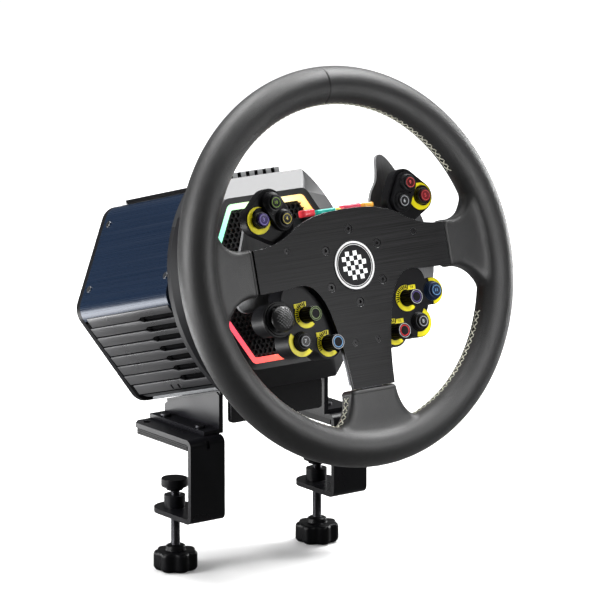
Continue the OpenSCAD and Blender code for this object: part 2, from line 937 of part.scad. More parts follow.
// Right-hand clamp: a bent strip with a welded nut boss on its lower leg
fix_hole = [80, 70];
module clamp_bracket() {
    bend = 6;
    inner = bend - strip_t;
    top_end = 80;
    tip = screw_y + strip_w / 2;
    low = leg_bottom + strip_t;
    profile = concat(
        [[top_end, pad_t], [top_end, strip_top]],
        arc([-strip_t + bend, strip_top - bend], bend, 90, 180),
        arc([-strip_t + bend, leg_bottom + bend], bend, 180, 270),
        [[tip, leg_bottom], [tip, low]],
        arc([inner, low + inner], inner, 270, 180),
        arc([inner, pad_t - inner], inner, 180, 90)
    );
    color("#121214") difference() {
        union() {
            translate([strip_x, 0, 0]) rotate([90, 0, 90])
                linear_extrude(height = strip_w) polygon(profile);
            translate([screw_x, screw_y, low - 1]) cylinder(r = 8.75, h = 11);
        }
        translate([screw_x, screw_y, leg_bottom - 1]) difference() {
            translate([-30, 0, 0]) cube([60, 30, strip_t + 2]);
            translate([0, 0, -1]) cylinder(r = strip_w / 2, h = strip_t + 4);
        }
        translate([screw_x, screw_y, leg_bottom - 1]) cylinder(r = screw_r + 0.06, h = 20);
        translate([fix_hole[0], fix_hole[1], 0]) cylinder(r = 3.25, h = 20);
        translate([strip_x + strip_w, top_end, 0]) rotate(45) cube([9, 9, 30], center = true);
        for (y = [18, 66]) translate([64, y, 0]) cylinder(r = 2.55, h = 20);
        translate([strip_x + 15, -strip_t - 1, strip_top - 9]) cube([3, 3, 8]);
    }
}

module clamp_bracket_left() {
    mirror([1, 0, 0]) clamp_bracket();
}

module clamp_bracket_right() {
    clamp_bracket();
}

// Rubber under each foot, grooved along its sides
module clamp_pads() {
    color("#1d1d1e") both_sides() difference() {
        translate([strip_x + 1, 2.5, 0]) cube([strip_w - 2, 76, pad_t - touch]);
        translate([fix_hole[0], fix_hole[1], -1]) cylinder(r = 3.6, h = 10);
        for (y = [18, 66]) translate([64, y, 2]) cylinder(r = 3, h = 10);
        for (z = [1.4, 2.9, 4.4]) translate([strip_x + strip_w - 1.6, 0, z]) cube([2, 90, 0.6]);
        translate([strip_x + strip_w, 80, 0]) rotate(45) cube([11, 11, 30], center = true);
    }
}

module clamp_foot(side) {
    color("#1a1a1b") translate([side * screw_x, screw_y, foot_top - 7]) difference() {
        union() {
            cylinder(r = 11, h = 7);
            translate([0, 0, -3]) cylinder(r = 7, h = 4);
        }
        translate([0, 0, -4]) cylinder(r = screw_r + 0.06, h = 8);
    }
}

module clamp_foot_left() {
    clamp_foot(-1);
}

module clamp_foot_right() {
    clamp_foot(1);
}

// Clamp screw with its lobed knob moulded on
module clamp_screw(side) {
    knob_top = -94;
    knob_h = 16;
    lobes = 7;
    color("#151517") translate([side * screw_x, screw_y, 0]) {
        translate([0, 0, knob_top - 1]) cylinder(r = screw_r, h = foot_top - 3.2 - knob_top + 1);
        translate([0, 0, knob_top - 1]) cylinder(r = 8, h = 6);
        translate([0, 0, knob_top - knob_h]) cylinder(r = 15, h = knob_h);
        for (k = [0:lobes - 1]) rotate(360 * k / lobes)
            translate([14, 0, knob_top - knob_h]) cylinder(r = 5, h = knob_h - 1);
    }
}

module clamp_screw_left() {
    clamp_screw(-1);
}

module clamp_screw_right() {
    clamp_screw(1);
}

// ---------- drawing ----------

rim_armature();
rim_wrap();
faceplate();
hub_bolts();
plate_screws();
badge();
pod_upper_left();
pod_upper_right();
pod_lower_left();
pod_lower_right();
pod_covers();
scale_plates();
light_lenses();
rear_case();
control_boards();
wheel_hub();
paddle_pins();
drive_shaft();
rotor();
button_10();
button_3();
button_4();
button_9();
button_5();
button_6();
button_7();
button_11();
button_8();
encoder_green();
encoder_blue();
encoder_purple();
encoder_red();
stick_gimbal();
thumb_stick();
shift_paddle_left();
shift_paddle_right();
quick_release_collar();
motor_housing();
front_shroud();
light_ring();
mesh_grille();
side_panel_left();
side_panel_right();
panel_screws();
vent_panel_left();
vent_panel_right();
top_cover();
rear_cover();
stator();
shaft_bearings();
main_board();
stand_cradle();
stand_bolts();
clamp_bracket_left();
clamp_bracket_right();
clamp_pads();
clamp_foot_left();
clamp_foot_right();
clamp_screw_left();
clamp_screw_right();
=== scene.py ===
"""Looks of the desk-clamped racing wheel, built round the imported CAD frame.

The wheel and base sit in a tilted drive frame that comes from the steering joint: x to the driver's
right, y the depth behind the wheel, z up the wheel. Pieces are drawn in millimetres, in the drive frame
or in the row frame, and piece_from turns them into metres in the row frame. The lights and the camera
are placed in metres.
"""

import json
from math import atan2, ceil, cos, hypot, pi, radians, sin, sqrt, tau

import bmesh
import bpy
import numpy as np
from mathutils import Matrix, Vector
from mathutils.bvhtree import BVHTree

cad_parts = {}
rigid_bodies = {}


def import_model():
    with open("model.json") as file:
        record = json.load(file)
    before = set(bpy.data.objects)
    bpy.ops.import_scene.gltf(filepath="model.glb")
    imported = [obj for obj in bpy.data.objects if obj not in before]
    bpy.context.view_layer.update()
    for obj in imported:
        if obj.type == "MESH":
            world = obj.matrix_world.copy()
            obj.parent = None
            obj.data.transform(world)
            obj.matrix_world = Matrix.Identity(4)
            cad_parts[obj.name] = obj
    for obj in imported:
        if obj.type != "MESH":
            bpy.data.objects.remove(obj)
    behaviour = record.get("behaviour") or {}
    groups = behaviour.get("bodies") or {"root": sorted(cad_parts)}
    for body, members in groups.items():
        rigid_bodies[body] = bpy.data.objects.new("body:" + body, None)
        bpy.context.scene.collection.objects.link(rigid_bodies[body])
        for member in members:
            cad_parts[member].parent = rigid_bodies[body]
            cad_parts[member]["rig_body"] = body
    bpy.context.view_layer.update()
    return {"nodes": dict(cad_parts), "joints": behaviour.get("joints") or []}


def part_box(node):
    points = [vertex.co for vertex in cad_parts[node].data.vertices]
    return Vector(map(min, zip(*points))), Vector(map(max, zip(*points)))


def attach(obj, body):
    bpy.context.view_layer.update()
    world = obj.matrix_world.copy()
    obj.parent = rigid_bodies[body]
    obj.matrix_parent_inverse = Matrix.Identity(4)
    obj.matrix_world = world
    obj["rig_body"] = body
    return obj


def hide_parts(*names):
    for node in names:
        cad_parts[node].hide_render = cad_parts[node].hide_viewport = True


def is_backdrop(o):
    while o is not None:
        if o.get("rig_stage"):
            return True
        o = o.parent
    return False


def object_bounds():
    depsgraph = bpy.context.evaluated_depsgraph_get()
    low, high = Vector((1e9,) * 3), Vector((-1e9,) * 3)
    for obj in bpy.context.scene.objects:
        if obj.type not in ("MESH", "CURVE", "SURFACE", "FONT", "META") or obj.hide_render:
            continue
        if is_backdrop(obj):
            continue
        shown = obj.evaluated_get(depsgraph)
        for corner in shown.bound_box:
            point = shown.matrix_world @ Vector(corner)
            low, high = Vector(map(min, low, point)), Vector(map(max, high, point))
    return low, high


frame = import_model()

# ---------- the drive frame ----------

MM = 0.001
steering = next(j for j in frame["joints"] if j["name"] == "steering")
CENTRE = Vector(steering["pos_m"])
RIGHT = Vector((1, 0, 0))
DEPTH = Vector(steering["axis"]).normalized()
UP = RIGHT.cross(DEPTH)
TILT = atan2(-DEPTH.z, DEPTH.y)
ROW = Matrix.Scale(MM, 4)
DRIVE = Matrix.Translation(CENTRE) @ Matrix((RIGHT, DEPTH, UP)).transposed().to_4x4() @ ROW
TO_DRIVE = DRIVE.inverted()
FACING = Matrix(((1, 0, 0, 0), (0, 0, -1, 0), (0, 1, 0, 0), (0, 0, 0, 1)))  # turns flat text to the driver


def corners(points):
    """Lowest and highest corner of a set of points."""
    return tuple(Vector([pick(p[i] for p in points) for i in range(3)]) for pick in (min, max))


def drive_box(node):
    """Lowest and highest corner of a CAD node in the drive frame, in millimetres."""
    return corners([TO_DRIVE @ v.co for v in frame["nodes"][node].data.vertices])


def round_box(node):
    """Front, back, middle and radius of a round CAD node in the drive frame."""
    low, high = drive_box(node)
    return low.y, high.y, ((low.x + high.x) / 2, (low.z + high.z) / 2), (high.x - low.x) / 2


def row_box(node):
    """Lowest and highest corner of a CAD node in the row frame, in millimetres."""
    low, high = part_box(node)
    return low / MM, high / MM


# ---------- materials ----------

class Look:
    """A principled material whose colour, roughness and bump come from chains of nodes."""

    def __init__(self, name, color, rough, metal=0.0, **inputs):
        self.material = bpy.data.materials.new(name)
        self.material.use_nodes = True
        self.tree = self.material.node_tree
        self.shader = self.tree.nodes["Principled BSDF"]
        self.color = (*color, 1)
        self.put("Base Color", self.color)
        self.put("Roughness", rough)
        self.put("Metallic", metal)
        for key, value in inputs.items():
            self.put(key.replace("_", " "), value)

    def feed(self, socket, value):
        if isinstance(value, bpy.types.NodeSocket):
            self.tree.links.new(value, socket)
        else:
            socket.default_value = value

    def put(self, name, value):
        self.feed(self.shader.inputs[name], value)

    def add(self, kind, inputs, **settings):
        node = self.tree.nodes.new("ShaderNode" + kind)
        for key, value in settings.items():
            setattr(node, key, value)
        for key, value in inputs.items():
            self.feed(node.inputs[key], value)
        return node

    def place(self, stretch=(1, 1, 1)):
        """Drive-frame coordinates in millimetres, multiplied by stretch."""
        where = self.add("TexCoord", {}).outputs["Object"]
        scale = [MM / s for s in stretch]
        inputs = {"Vector": where, "Location": CENTRE, "Rotation": (-TILT, 0, 0), "Scale": scale}
        return self.add("Mapping", inputs, vector_type="TEXTURE").outputs[0]

    def noise(self, size, stretch=(1, 1, 1), detail=2.0, seed=0.0):
        """Soft noise whose blotches are about size millimetres across."""
        inputs = {"Vector": self.place(stretch), "W": seed, "Scale": 1 / size, "Detail": detail}
        return self.add("TexNoise", inputs, noise_dimensions="4D").outputs["Fac"]

    def cells(self, size):
        """Distance to the edges of cells about size millimetres across."""
        inputs = {"Vector": self.place(), "Scale": 1 / size}
        return self.add("TexVoronoi", inputs, feature="DISTANCE_TO_EDGE").outputs["Distance"]

    def span(self, value, low, high, start=0.25, end=0.75):
        """Maps start..end of value onto low..high."""
        inputs = {"Value": value, "From Min": start, "From Max": end, "To Min": low, "To Max": high}
        return self.add("MapRange", inputs).outputs[0]

    def maths(self, operation, a, b=0.0):
        node = self.add("Math", {}, operation=operation)
        self.feed(node.inputs[0], a)
        self.feed(node.inputs[1], b)
        return node.outputs[0]

    def mix(self, share, a, b):
        """Blends two colours; the numbers are the colour sockets of the Mix node."""
        node = self.add("Mix", {}, data_type="RGBA")
        self.feed(node.inputs["Factor"], share)
        self.feed(node.inputs[6], a)
        self.feed(node.inputs[7], b)
        return node.outputs[2]

    def tones(self, share, color, darker, lighter):
        """Base colour that runs between a darker and a lighter tone of a colour."""
        dark, light = (*scaled(color, darker), 1), (*scaled(color, lighter), 1)
        self.put("Base Color", self.mix(share, dark, light))

    def ramp(self, value, stops):
        """Colour ramp through (position, colour) stops."""
        node = self.add("ValToRGB", {"Fac": value})
        band = node.color_ramp
        while len(band.elements) < len(stops):
            band.elements.new(0.5)
        for element, (position, color) in zip(band.elements, stops):
            element.position = position
            element.color = (*color, 1)
        return node.outputs["Color"]

    def bump(self, height, depth, strength=1.0):
        """Adds relief depth millimetres deep, on top of any earlier relief."""
        inputs = {"Height": height, "Distance": depth * MM, "Strength": strength}
        node = self.add("Bump", inputs)
        before = self.shader.inputs["Normal"].links
        if before:
            self.feed(node.inputs["Normal"], before[0].from_socket)
        self.put("Normal", node.outputs[0])

    def wear_and_shine(self, color, share=0.35):
        """Lightens convex edges: handling wear, and a painted highlight along the edges."""
        ridge = self.add("NewGeometry", {}).outputs["Pointiness"]
        base = self.shader.inputs["Base Color"]
        under = base.links[0].from_socket if base.links else self.color
        self.put("Base Color", self.mix(self.span(ridge, 0.0, share, 0.51, 0.6), under, (*color, 1)))


def scaled(color, factor):
    return tuple(c * factor for c in color)


def moulded(name, color, rough=0.42, grain=0.45, relief=0.02, gloss=0.5, coat=0.0):
    """Moulded plastic with a fine spark-eroded grain."""
    look = Look(name, color, rough, Specular_IOR_Level=gloss, Coat_Weight=coat)
    blotch = look.noise(28, detail=4)
    look.put("Roughness", look.span(blotch, rough - 0.05, rough + 0.08))
    look.tones(look.span(blotch, 0, 1), color, 0.85, 1.15)
    look.bump(look.noise(grain, detail=3), relief)
    look.wear_and_shine(scaled(color, 3.5), 0.25)
    return look


def coated(name, color, rough=0.42, metal=0.0, gloss=0.5):
    """Powder coat: fine orange peel over steel."""
    look = Look(name, color, rough, metal, Specular_IOR_Level=gloss)
    dust = look.noise(40, detail=5)
    look.put("Roughness", look.span(dust, rough - 0.06, rough + 0.08))
    look.tones(look.span(dust, 0, 1), color, 0.8, 1.25)
    look.bump(look.noise(1.3, detail=2), 0.03)
    look.bump(look.noise(0.35), 0.012)
    look.wear_and_shine(scaled(color, 4), 0.35)
    return look


def brushed(name, color, rough, metal, along=(0.02, 3, 3), relief=0.006, contrast=0.45, gloss=0.5):
    """Metal brushed along the axis whose stretch is small."""
    look = Look(name, color, rough, metal)
    streak = look.noise(1.2, along, detail=4)
    fine = look.noise(0.3, along, detail=2, seed=3)
    both = look.maths("ADD", look.maths("MULTIPLY", streak, 0.6), look.maths("MULTIPLY", fine, 0.4))
    look.tones(look.span(both, 0, 1, 0.35, 0.65), color, 1 - contrast, 1 + contrast)
    look.put("Roughness", look.span(both, rough - 0.1, rough + 0.12, 0.35, 0.65))
    look.put("Specular IOR Level", look.span(both, gloss * 0.5, gloss * 1.5, 0.35, 0.65))
    look.bump(both, relief)
    look.wear_and_shine(scaled(color, 4), 0.5)
    return look


def turned(name, color, rough=0.28):
    """Machined steel with faint marks and smears."""
    look = Look(name, color, rough, 1.0)
    smear = look.noise(14, detail=5)
    look.put("Roughness", look.span(smear, rough - 0.08, rough + 0.15))
    look.bump(look.noise(0.5, (1, 6, 1)), 0.004)
    return look


def leather(name, color):
    """Grained leather: two sizes of pore, creases and patches of wear."""
    look = Look(name, color, 0.5, Specular_IOR_Level=0.5, Sheen_Weight=0.06, Sheen_Roughness=0.4)
    pore = look.maths("MINIMUM", look.maths("MULTIPLY", look.cells(1.15), 5), 1.0)
    small = look.maths("MINIMUM", look.maths("MULTIPLY", look.cells(0.5), 4), 1.0)
    crease = look.noise(5, detail=6)
    wear_and_shine = look.noise(45, detail=3, seed=2)
    tone = look.maths("MULTIPLY", look.span(crease, 0.86, 1.12), look.span(pore, 0.8, 1.03, 0, 1))
    look.put("Base Color", look.mix(tone, (0, 0, 0, 1), look.color))
    look.put("Roughness", look.span(wear_and_shine, 0.36, 0.5))
    look.bump(pore, 0.05)
    look.bump(small, 0.02)
    look.bump(crease, 0.12, 0.7)
    return look


def lit(name, stops, strength):
    """Light ring: colour runs with the angle round the axis."""
    look = Look(name, (0.8, 0.8, 0.8), 0.4)
    parts = look.add("SeparateXYZ", {"Vector": look.place()}).outputs
    angle = look.maths("ARCTAN2", parts["Z"], parts["X"])
    color = look.ramp(look.span(angle, 0, 1, -pi, pi), stops)
    cloud = look.noise(9, detail=3)
    look.put("Base Color", color)
    look.put("Emission Color", color)
    look.put("Emission Strength", look.span(cloud, strength * 0.85, strength * 1.15))
    return look


def glazed(name, color, glow):
    """Tinted translucent plastic with a little light of its own."""
    look = Look(name, color, 0.25, Transmission_Weight=0.15, Coat_Weight=0.3)
    cloud = look.noise(6, detail=3)
    look.tones(look.span(cloud, 0, 1), color, 0.75, 1.1)
    look.put("Emission Color", (*color, 1))
    look.put("Emission Strength", glow)
    look.bump(look.noise(0.8), 0.01)
    return look


def circuit(name):
    """Solder mask over a web of tracks."""
    look = Look(name, (0.02, 0.11, 0.045), 0.35)
    track = look.cells(3.5)
    copper, mask = (0.05, 0.2, 0.09, 1), (0.012, 0.07, 0.03, 1)
    look.put("Base Color", look.mix(look.span(track, 0, 1, 0.06, 0.1), copper, mask))
    look.bump(track, 0.03)
    return look


LEATHER = leather("leather_black", (0.017, 0.017, 0.0175))
PLATE = brushed("plate_black", (0.007, 0.007, 0.0075), 0.46, 0.0, (0.012, 3, 3), contrast=0.8, gloss=0.16)
POD = moulded("pod_black", (0.006, 0.006, 0.007), 0.38, gloss=0.12)
CAP_BLACK = moulded("cap_black", (0.005, 0.005, 0.006), 0.34, 0.3, 0.008, gloss=0.22)
RUBBER = moulded("rubber_black", (0.0025, 0.0025, 0.003), 0.34, 0.5, 0.015, gloss=0.12)
GRIP = moulded("grip_rubber", (0.006, 0.006, 0.0065), 0.3, 0.4, 0.01, gloss=0.7)
POLISHED = turned("plate_edge", (0.3, 0.3, 0.31), 0.3)
MESH = moulded("mesh_black", (0.014, 0.014, 0.015), 0.36, 0.5, 0.006, gloss=0.7)
BADGE = moulded("badge_black", (0.006, 0.006, 0.007), 0.5, 0.3, 0.008, gloss=0.15)
SHROUD = moulded("shroud_black", (0.012, 0.0125, 0.014), 0.34, 0.5, 0.008, gloss=1.0, coat=0.7)
# darker, duller copy of the shroud plastic: painted shade for the shroud's flanks and underside
SHROUD_SHADED = moulded("shroud_shaded", (0.008, 0.008, 0.009), 0.5, 0.5, 0.008, gloss=0.2)
BLUE = brushed("panel_blue", (0.0032, 0.0095, 0.024), 0.28, 0.25, (3, 0.004, 3), 0.0006, 0.12, gloss=0.5)
RIB = coated("vent_grey", (0.045, 0.045, 0.047), 0.3, 0.5, 0.7)
# near-black sheet under the vent ribs: painted shade in the grooves and slots
VENT_SHADE = moulded("vent_shade", (0.0012, 0.0012, 0.0014), 0.6, gloss=0.02)
COAT = coated("stand_black", (0.004, 0.004, 0.005), 0.3, gloss=0.16)
SATIN = brushed("paddle_grey", (0.17, 0.172, 0.176), 0.38, 0.35, (3, 3, 0.03), 0.004, 0.25)
GLOSS = moulded("gloss_black", (0.004, 0.004, 0.005), 0.2, 0.6, 0.004)
YELLOW = moulded("plate_yellow", (0.56, 0.49, 0.003), 0.4, 0.6, 0.01, gloss=0.3)
WHITE = moulded("paint_white", (0.75, 0.75, 0.75), 0.45, 0.5, 0.004)
INK = moulded("paint_black", (0.003, 0.003, 0.003), 0.6, 0.5, 0.004, gloss=0.1)
KNOB = moulded("knob_black", (0.004, 0.0035, 0.005), 0.5, 0.3, 0.008, gloss=0.1)
BLOCKS = coated("block_grey", (0.3, 0.305, 0.31), 0.45, 0.3)
SCREW = turned("screw_dark", (0.05, 0.05, 0.055), 0.32)
STEEL = turned("steel", (0.55, 0.55, 0.56))
IRON = turned("rotor_iron", (0.22, 0.22, 0.23), 0.4)
COPPER = turned("copper", (0.5, 0.2, 0.08), 0.35)
CAST = coated("housing_cast", (0.05, 0.052, 0.055), 0.5, 0.4)
HUB = brushed("hub_metal", (0.045, 0.046, 0.05), 0.35, 0.8, (3, 0.05, 3))
BOARD = circuit("board_green")
THREAD = Look("thread_cream", (0.62, 0.61, 0.50), 0.75, Sheen_Weight=0.3)
THREAD.bump(THREAD.noise(0.25, detail=3), 0.05)


# ---------- mesh helpers ----------

def piece_from(bm, name, look, body, space=DRIVE, replaces=(), crease=38):
    """Turns a bmesh in millimetres into a smooth-shaded piece that rides on a body.

    Edges sharper than crease degrees stay sharp. The bmesh is used up.
    """
    bm.transform(space)
    bmesh.ops.recalc_face_normals(bm, faces=bm.faces)
    for face in bm.faces:
        face.smooth = True
    for edge in bm.edges:
        edge.smooth = len(edge.link_faces) != 2 or edge.calc_face_angle(0) < radians(crease)
    mesh = bpy.data.meshes.new(name)
    bm.to_mesh(mesh)
    bm.free()
    for one in look if isinstance(look, tuple) else (look,):
        mesh.materials.append(one.material)
    piece = bpy.data.objects.new(name, mesh)
    bpy.context.scene.collection.objects.link(piece)
    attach(piece, body)
    if replaces:
        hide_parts(*replaces)
    return piece


def bodied(node):
    """The body that a CAD node rides on."""
    return frame["nodes"][node]["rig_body"]


def cad_mesh(node):
    """A CAD node's surface in the drive frame, with its triangles joined into flat faces."""
    bm = bmesh.new()
    bm.from_mesh(frame["nodes"][node].data)
    bm.transform(TO_DRIVE)
    bmesh.ops.remove_doubles(bm, verts=bm.verts, dist=0.004)
    bmesh.ops.dissolve_degenerate(bm, dist=0.004, edges=bm.edges)
    bmesh.ops.dissolve_limit(bm, angle_limit=radians(0.6), verts=bm.verts, edges=bm.edges)
    return bm


def round_edges(bm, width, segments=3, angle=30):
    """Rounds every edge sharper than angle."""
    sharp = [e for e in bm.edges if len(e.link_faces) == 2 and e.calc_face_angle(0) > radians(angle)]
    bmesh.ops.bevel(bm, geom=sharp, offset=width, offset_type="OFFSET", segments=segments,
                    profile=0.5, affect="EDGES", clamp_overlap=True)


def softened(node, look, width=0.5, segments=3, paint=None):
    """A CAD node's shape with its edges rounded, standing for the node.

    paint(face, centre) picks the second of two looks where it is true.
    """
    bm = cad_mesh(node)
    round_edges(bm, width, segments)
    if paint:
        for face in bm.faces:
            face.material_index = int(paint(face, face.calc_center_median()))
    piece = piece_from(bm, node + "_shell", look, bodied(node), DRIVE, (node,), crease=50)
    piece.modifiers.new("face_weight", "WEIGHTED_NORMAL").keep_sharp = True
    return piece


def finished(look, *nodes):
    """CAD nodes that stay as they are and only take a finish."""
    for node in nodes:
        for place in frame["nodes"][node].material_slots:
            place.material = look.material


def rounded(points, radius, steps=4, closed=False):
    """A polyline whose corners are rounded off."""
    out = []
    count = len(points)
    for i, p in enumerate(points):
        p = Vector(p)
        if not closed and i in (0, count - 1):
            out.append(p)
            continue
        before, after = Vector(points[i - 1]) - p, Vector(points[(i + 1) % count]) - p
        cut = min(radius, before.length / 2, after.length / 2)
        a, b = p + before.normalized() * cut, p + after.normalized() * cut
        for s in range(steps + 1):
            t = s / steps
            out.append(a * (1 - t) ** 2 + p * 2 * t * (1 - t) + b * t * t)
    return out


def lathe(bm, profile, at=(0, 0), steps=48, closed=False, wave=None):
    """Turns (radius, depth) pairs about the depth line through at; wave(radius, depth, angle) bends it."""
    rings = []
    for radius, depth in profile:
        if radius < 1e-6:
            rings.append([bm.verts.new((at[0], depth, at[1]))])
            continue
        ring = []
        for s in range(steps):
            angle = tau * s / steps
            r = wave(radius, depth, angle) if wave else radius
            ring.append(bm.verts.new((at[0] + r * cos(angle), depth, at[1] + r * sin(angle))))
        rings.append(ring)
    pairs = list(zip(rings, rings[1:])) + ([(rings[-1], rings[0])] if closed else [])
    for a, b in pairs:
        for s in range(steps):
            t = (s + 1) % steps
            loop = [a[s % len(a)], a[t % len(a)], b[t % len(b)], b[s % len(b)]]
            bm.faces.new(list(dict.fromkeys(loop)))


def rectangle(x0, z0, x1, z1):
    return [(x0, z0), (x1, z0), (x1, z1), (x0, z1)]


def washer(bm, inner, outer, front, back, at=(0, 0), edge=0.15, steps=48):
    """A flat ring with rounded edges."""
    lathe(bm, rounded(rectangle(inner, front, outer, back), edge, 2, True), at, steps, True)


def washer_piece(name, look, body, slot, *sizes):
    """A flat ring as a piece of its own, with the sizes of washer."""
    bm = bmesh.new()
    washer(bm, *sizes)
    piece_from(bm, name, look, body)


def slab(bm, outline, front, back, edge=0.0, segments=2):
    """A flat outline of (x, z) points filled from one depth to another."""
    face = bm.faces.new([bm.verts.new((x, front, z)) for x, z in outline])
    made = bmesh.ops.extrude_face_region(bm, geom=[face])["geom"]
    moved = [g for g in made if isinstance(g, bmesh.types.BMVert)]
    bmesh.ops.translate(bm, verts=moved, vec=(0, back - front, 0))
    if edge:
        faces = dict.fromkeys([f for v in moved for f in v.link_faces] + [face])
        rim = dict.fromkeys(e for f in faces for e in f.edges if len(e.link_faces) == 2)
        sharp = [e for e in rim if e.calc_face_angle(0) > radians(30)]
        bmesh.ops.bevel(bm, geom=sharp, offset=edge, segments=segments, profile=0.5, affect="EDGES",
                        clamp_overlap=True)


def block(bm, low, high, edge=0.3, segments=2):
    """A box between two corners with rounded edges."""
    slab(bm, rectangle(low[0], low[2], high[0], high[2]), low[1], high[1], edge, segments)


def cord(bm, points, radius, sides=6):
    """A round cord through a list of points, closed at both ends."""
    points = [Vector(p) for p in points]
    rings = []
    side = (points[1] - points[0]).orthogonal().normalized()
    for i, p in enumerate(points):
        ahead = (points[min(i + 1, len(points) - 1)] - points[max(i - 1, 0)]).normalized()
        side = (side - ahead * side.dot(ahead)).normalized()
        other = ahead.cross(side)
        turn = [tau * s / sides for s in range(sides)]
        rings.append([bm.verts.new(p + radius * (side * cos(a) + other * sin(a))) for a in turn])
    for a, b in zip(rings, rings[1:]):
        for s in range(sides):
            t = (s + 1) % sides
            bm.faces.new((a[s], a[t], b[t], b[s]))
    bm.faces.new(rings[0][::-1])
    bm.faces.new(rings[-1])


def evaluated(data, name, **remesh):
    """Mesh that a throwaway object with this data gives, remeshed if settings are given."""
    maker = bpy.data.objects.new(name, data)
    bpy.context.scene.collection.objects.link(maker)
    if remesh:
        step = maker.modifiers.new("remesh", "REMESH")
        for key, value in remesh.items():
            setattr(step, key, value)
    bpy.context.view_layer.update()
    mesh = bpy.data.meshes.new_from_object(maker.evaluated_get(bpy.context.evaluated_depsgraph_get()))
    bpy.data.objects.remove(maker)
    return mesh


def digits(text, size, at, front, look, body, name):
    """Small raised digits that face the driver, centred on at."""
    curve = bpy.data.curves.new(name, "FONT")
    curve.body = text
    curve.size = size
    curve.align_x = "CENTER"
    curve.align_y = "CENTER"
    curve.extrude = 0.05
    curve.resolution_u = 4
    mesh = evaluated(curve, name + "_maker")
    bm = bmesh.new()
    bm.from_mesh(mesh)
    bpy.data.meshes.remove(mesh)
    bmesh.ops.remove_doubles(bm, verts=bm.verts, dist=0.001)
    bm.transform(Matrix.Translation((at[0], front, at[1])) @ FACING)
    piece_from(bm, name, look, body)


def islands(bm):
    """Groups of vertices that hang together."""
    left, groups = set(bm.verts), []
    while left:
        group = [left.pop()]
        for vert in group:
            fresh = {e.other_vert(vert) for e in vert.link_edges} & left
            left -= fresh
            group += fresh
        groups.append(group)
    return groups


# ---------- leather rim ----------

rim_high = drive_box("rim_wrap")[1]
TUBE_R = rim_high.y
RIM_R = rim_high.x - TUBE_R
INNER_R = RIM_R - TUBE_R
VOXEL = 0.9
HEM = 3.4  # width of the folded hem at a sleeve's end
HEM_RISE = 0.4
SLEEVE_EDGE = 2.6  # rounding of a sleeve's edges
BLEND = (10, 17)  # distance from a sleeve over which the tube's own shape takes over
BLEND_ROUNDS, EVEN_ROUNDS = 70, 3
TOP_SEAM = (-1.1, -0.4, 0.4, 1.1)  # lines cut into the leather for the seam over the rim's top
TOP_SEAM_SINK = 0.75
INNER_SEAM = (-1.0, -0.35, 0.35, 1.0)  # lines cut for the seam round the inside of the rim
INNER_SEAM_SINK = 0.6
SEAM_REACH = 28.0  # degrees round each side spoke that the inner seam leaves out
STITCH_STEP = 5.6
STITCH_HALF = 2.7
CORD_R = 0.4


def sleeve_outlines():
    """Front outlines of the three leather spokes, with their ends pushed inside the rim, and their depths."""
    bm = cad_mesh("rim_wrap")
    found, fronts, backs = [], [], []
    for face in bm.faces:
        level = [v.co.y for v in face.verts]
        if max(level) - min(level) > 0.01 or face.calc_area() < 300 or abs(face.normal.y) < 0.99:
            continue
        if face.normal.y > 0:
            backs.append(level[0])
            continue
        fronts.append(level[0])
        found.append([])
        for v in face.verts:
            r = hypot(v.co.x, v.co.z)
            push = (RIM_R - 3) / r if r > INNER_R + 1.2 else 1
            found[-1].append((v.co.x * push, v.co.z * push))
    bm.free()
    return found, min(fronts), max(backs)


def smooth_step(value, start, end):
    t = np.clip((value - start) / (end - start), 0, 1)
    return t * t * (3 - 2 * t)


def relax(points, edges, weight, rounds):
    """Moves points towards the middle of their neighbours, by weight."""
    a, b = edges[:, 0], edges[:, 1]
    count = np.bincount(a, minlength=len(points)) + np.bincount(b, minlength=len(points))
    for _ in range(rounds):
        mean = np.empty_like(points)
        for axis in range(3):
            level = points[:, axis]
            total = np.bincount(a, level[b], len(points)) + np.bincount(b, level[a], len(points))
            mean[:, axis] = total / count
        points = points + (weight * 0.6)[:, None] * (mean - points)
    return points


def on_tube(points, chosen=None):
    """Puts points on the rim's tube: the chosen ones, or else all that lie inside it."""
    r = np.hypot(points[:, 0], points[:, 2])
    off = r - RIM_R
    gap = np.hypot(off, points[:, 1])
    move = (gap < TUBE_R if chosen is None else chosen) & (gap > 1)
    grow = np.where(move, TUBE_R / np.maximum(gap, 1), 1)
    new_r = RIM_R + off * grow
    scale = new_r / np.maximum(r, 1)
    return np.stack([points[:, 0] * scale, points[:, 1] * grow, points[:, 2] * scale], 1)


def end_distance(x, z, side_end, foot_end):
    """Distance back from a sleeve's open end, large away from the sleeves."""
    side = np.where(np.abs(z) < 48, np.abs(x) - side_end, 1e3)
    foot = np.where(np.abs(x) < 45, foot_end - z, 1e3)
    return np.minimum(np.where(side > -1, side, 1e3), np.where(foot > -1, foot, 1e3))


def cut(bm, point, normal, chosen):
    """Adds a line of vertices where a plane crosses the chosen faces."""
    faces = [f for f in bm.faces if chosen(f.calc_center_median())]
    edges = list(dict.fromkeys(e for f in faces for e in f.edges))
    verts = list(dict.fromkeys(v for f in faces for v in f.verts))
    bmesh.ops.bisect_plane(bm, geom=faces + edges + verts, plane_co=point, plane_no=normal, dist=1e-4)


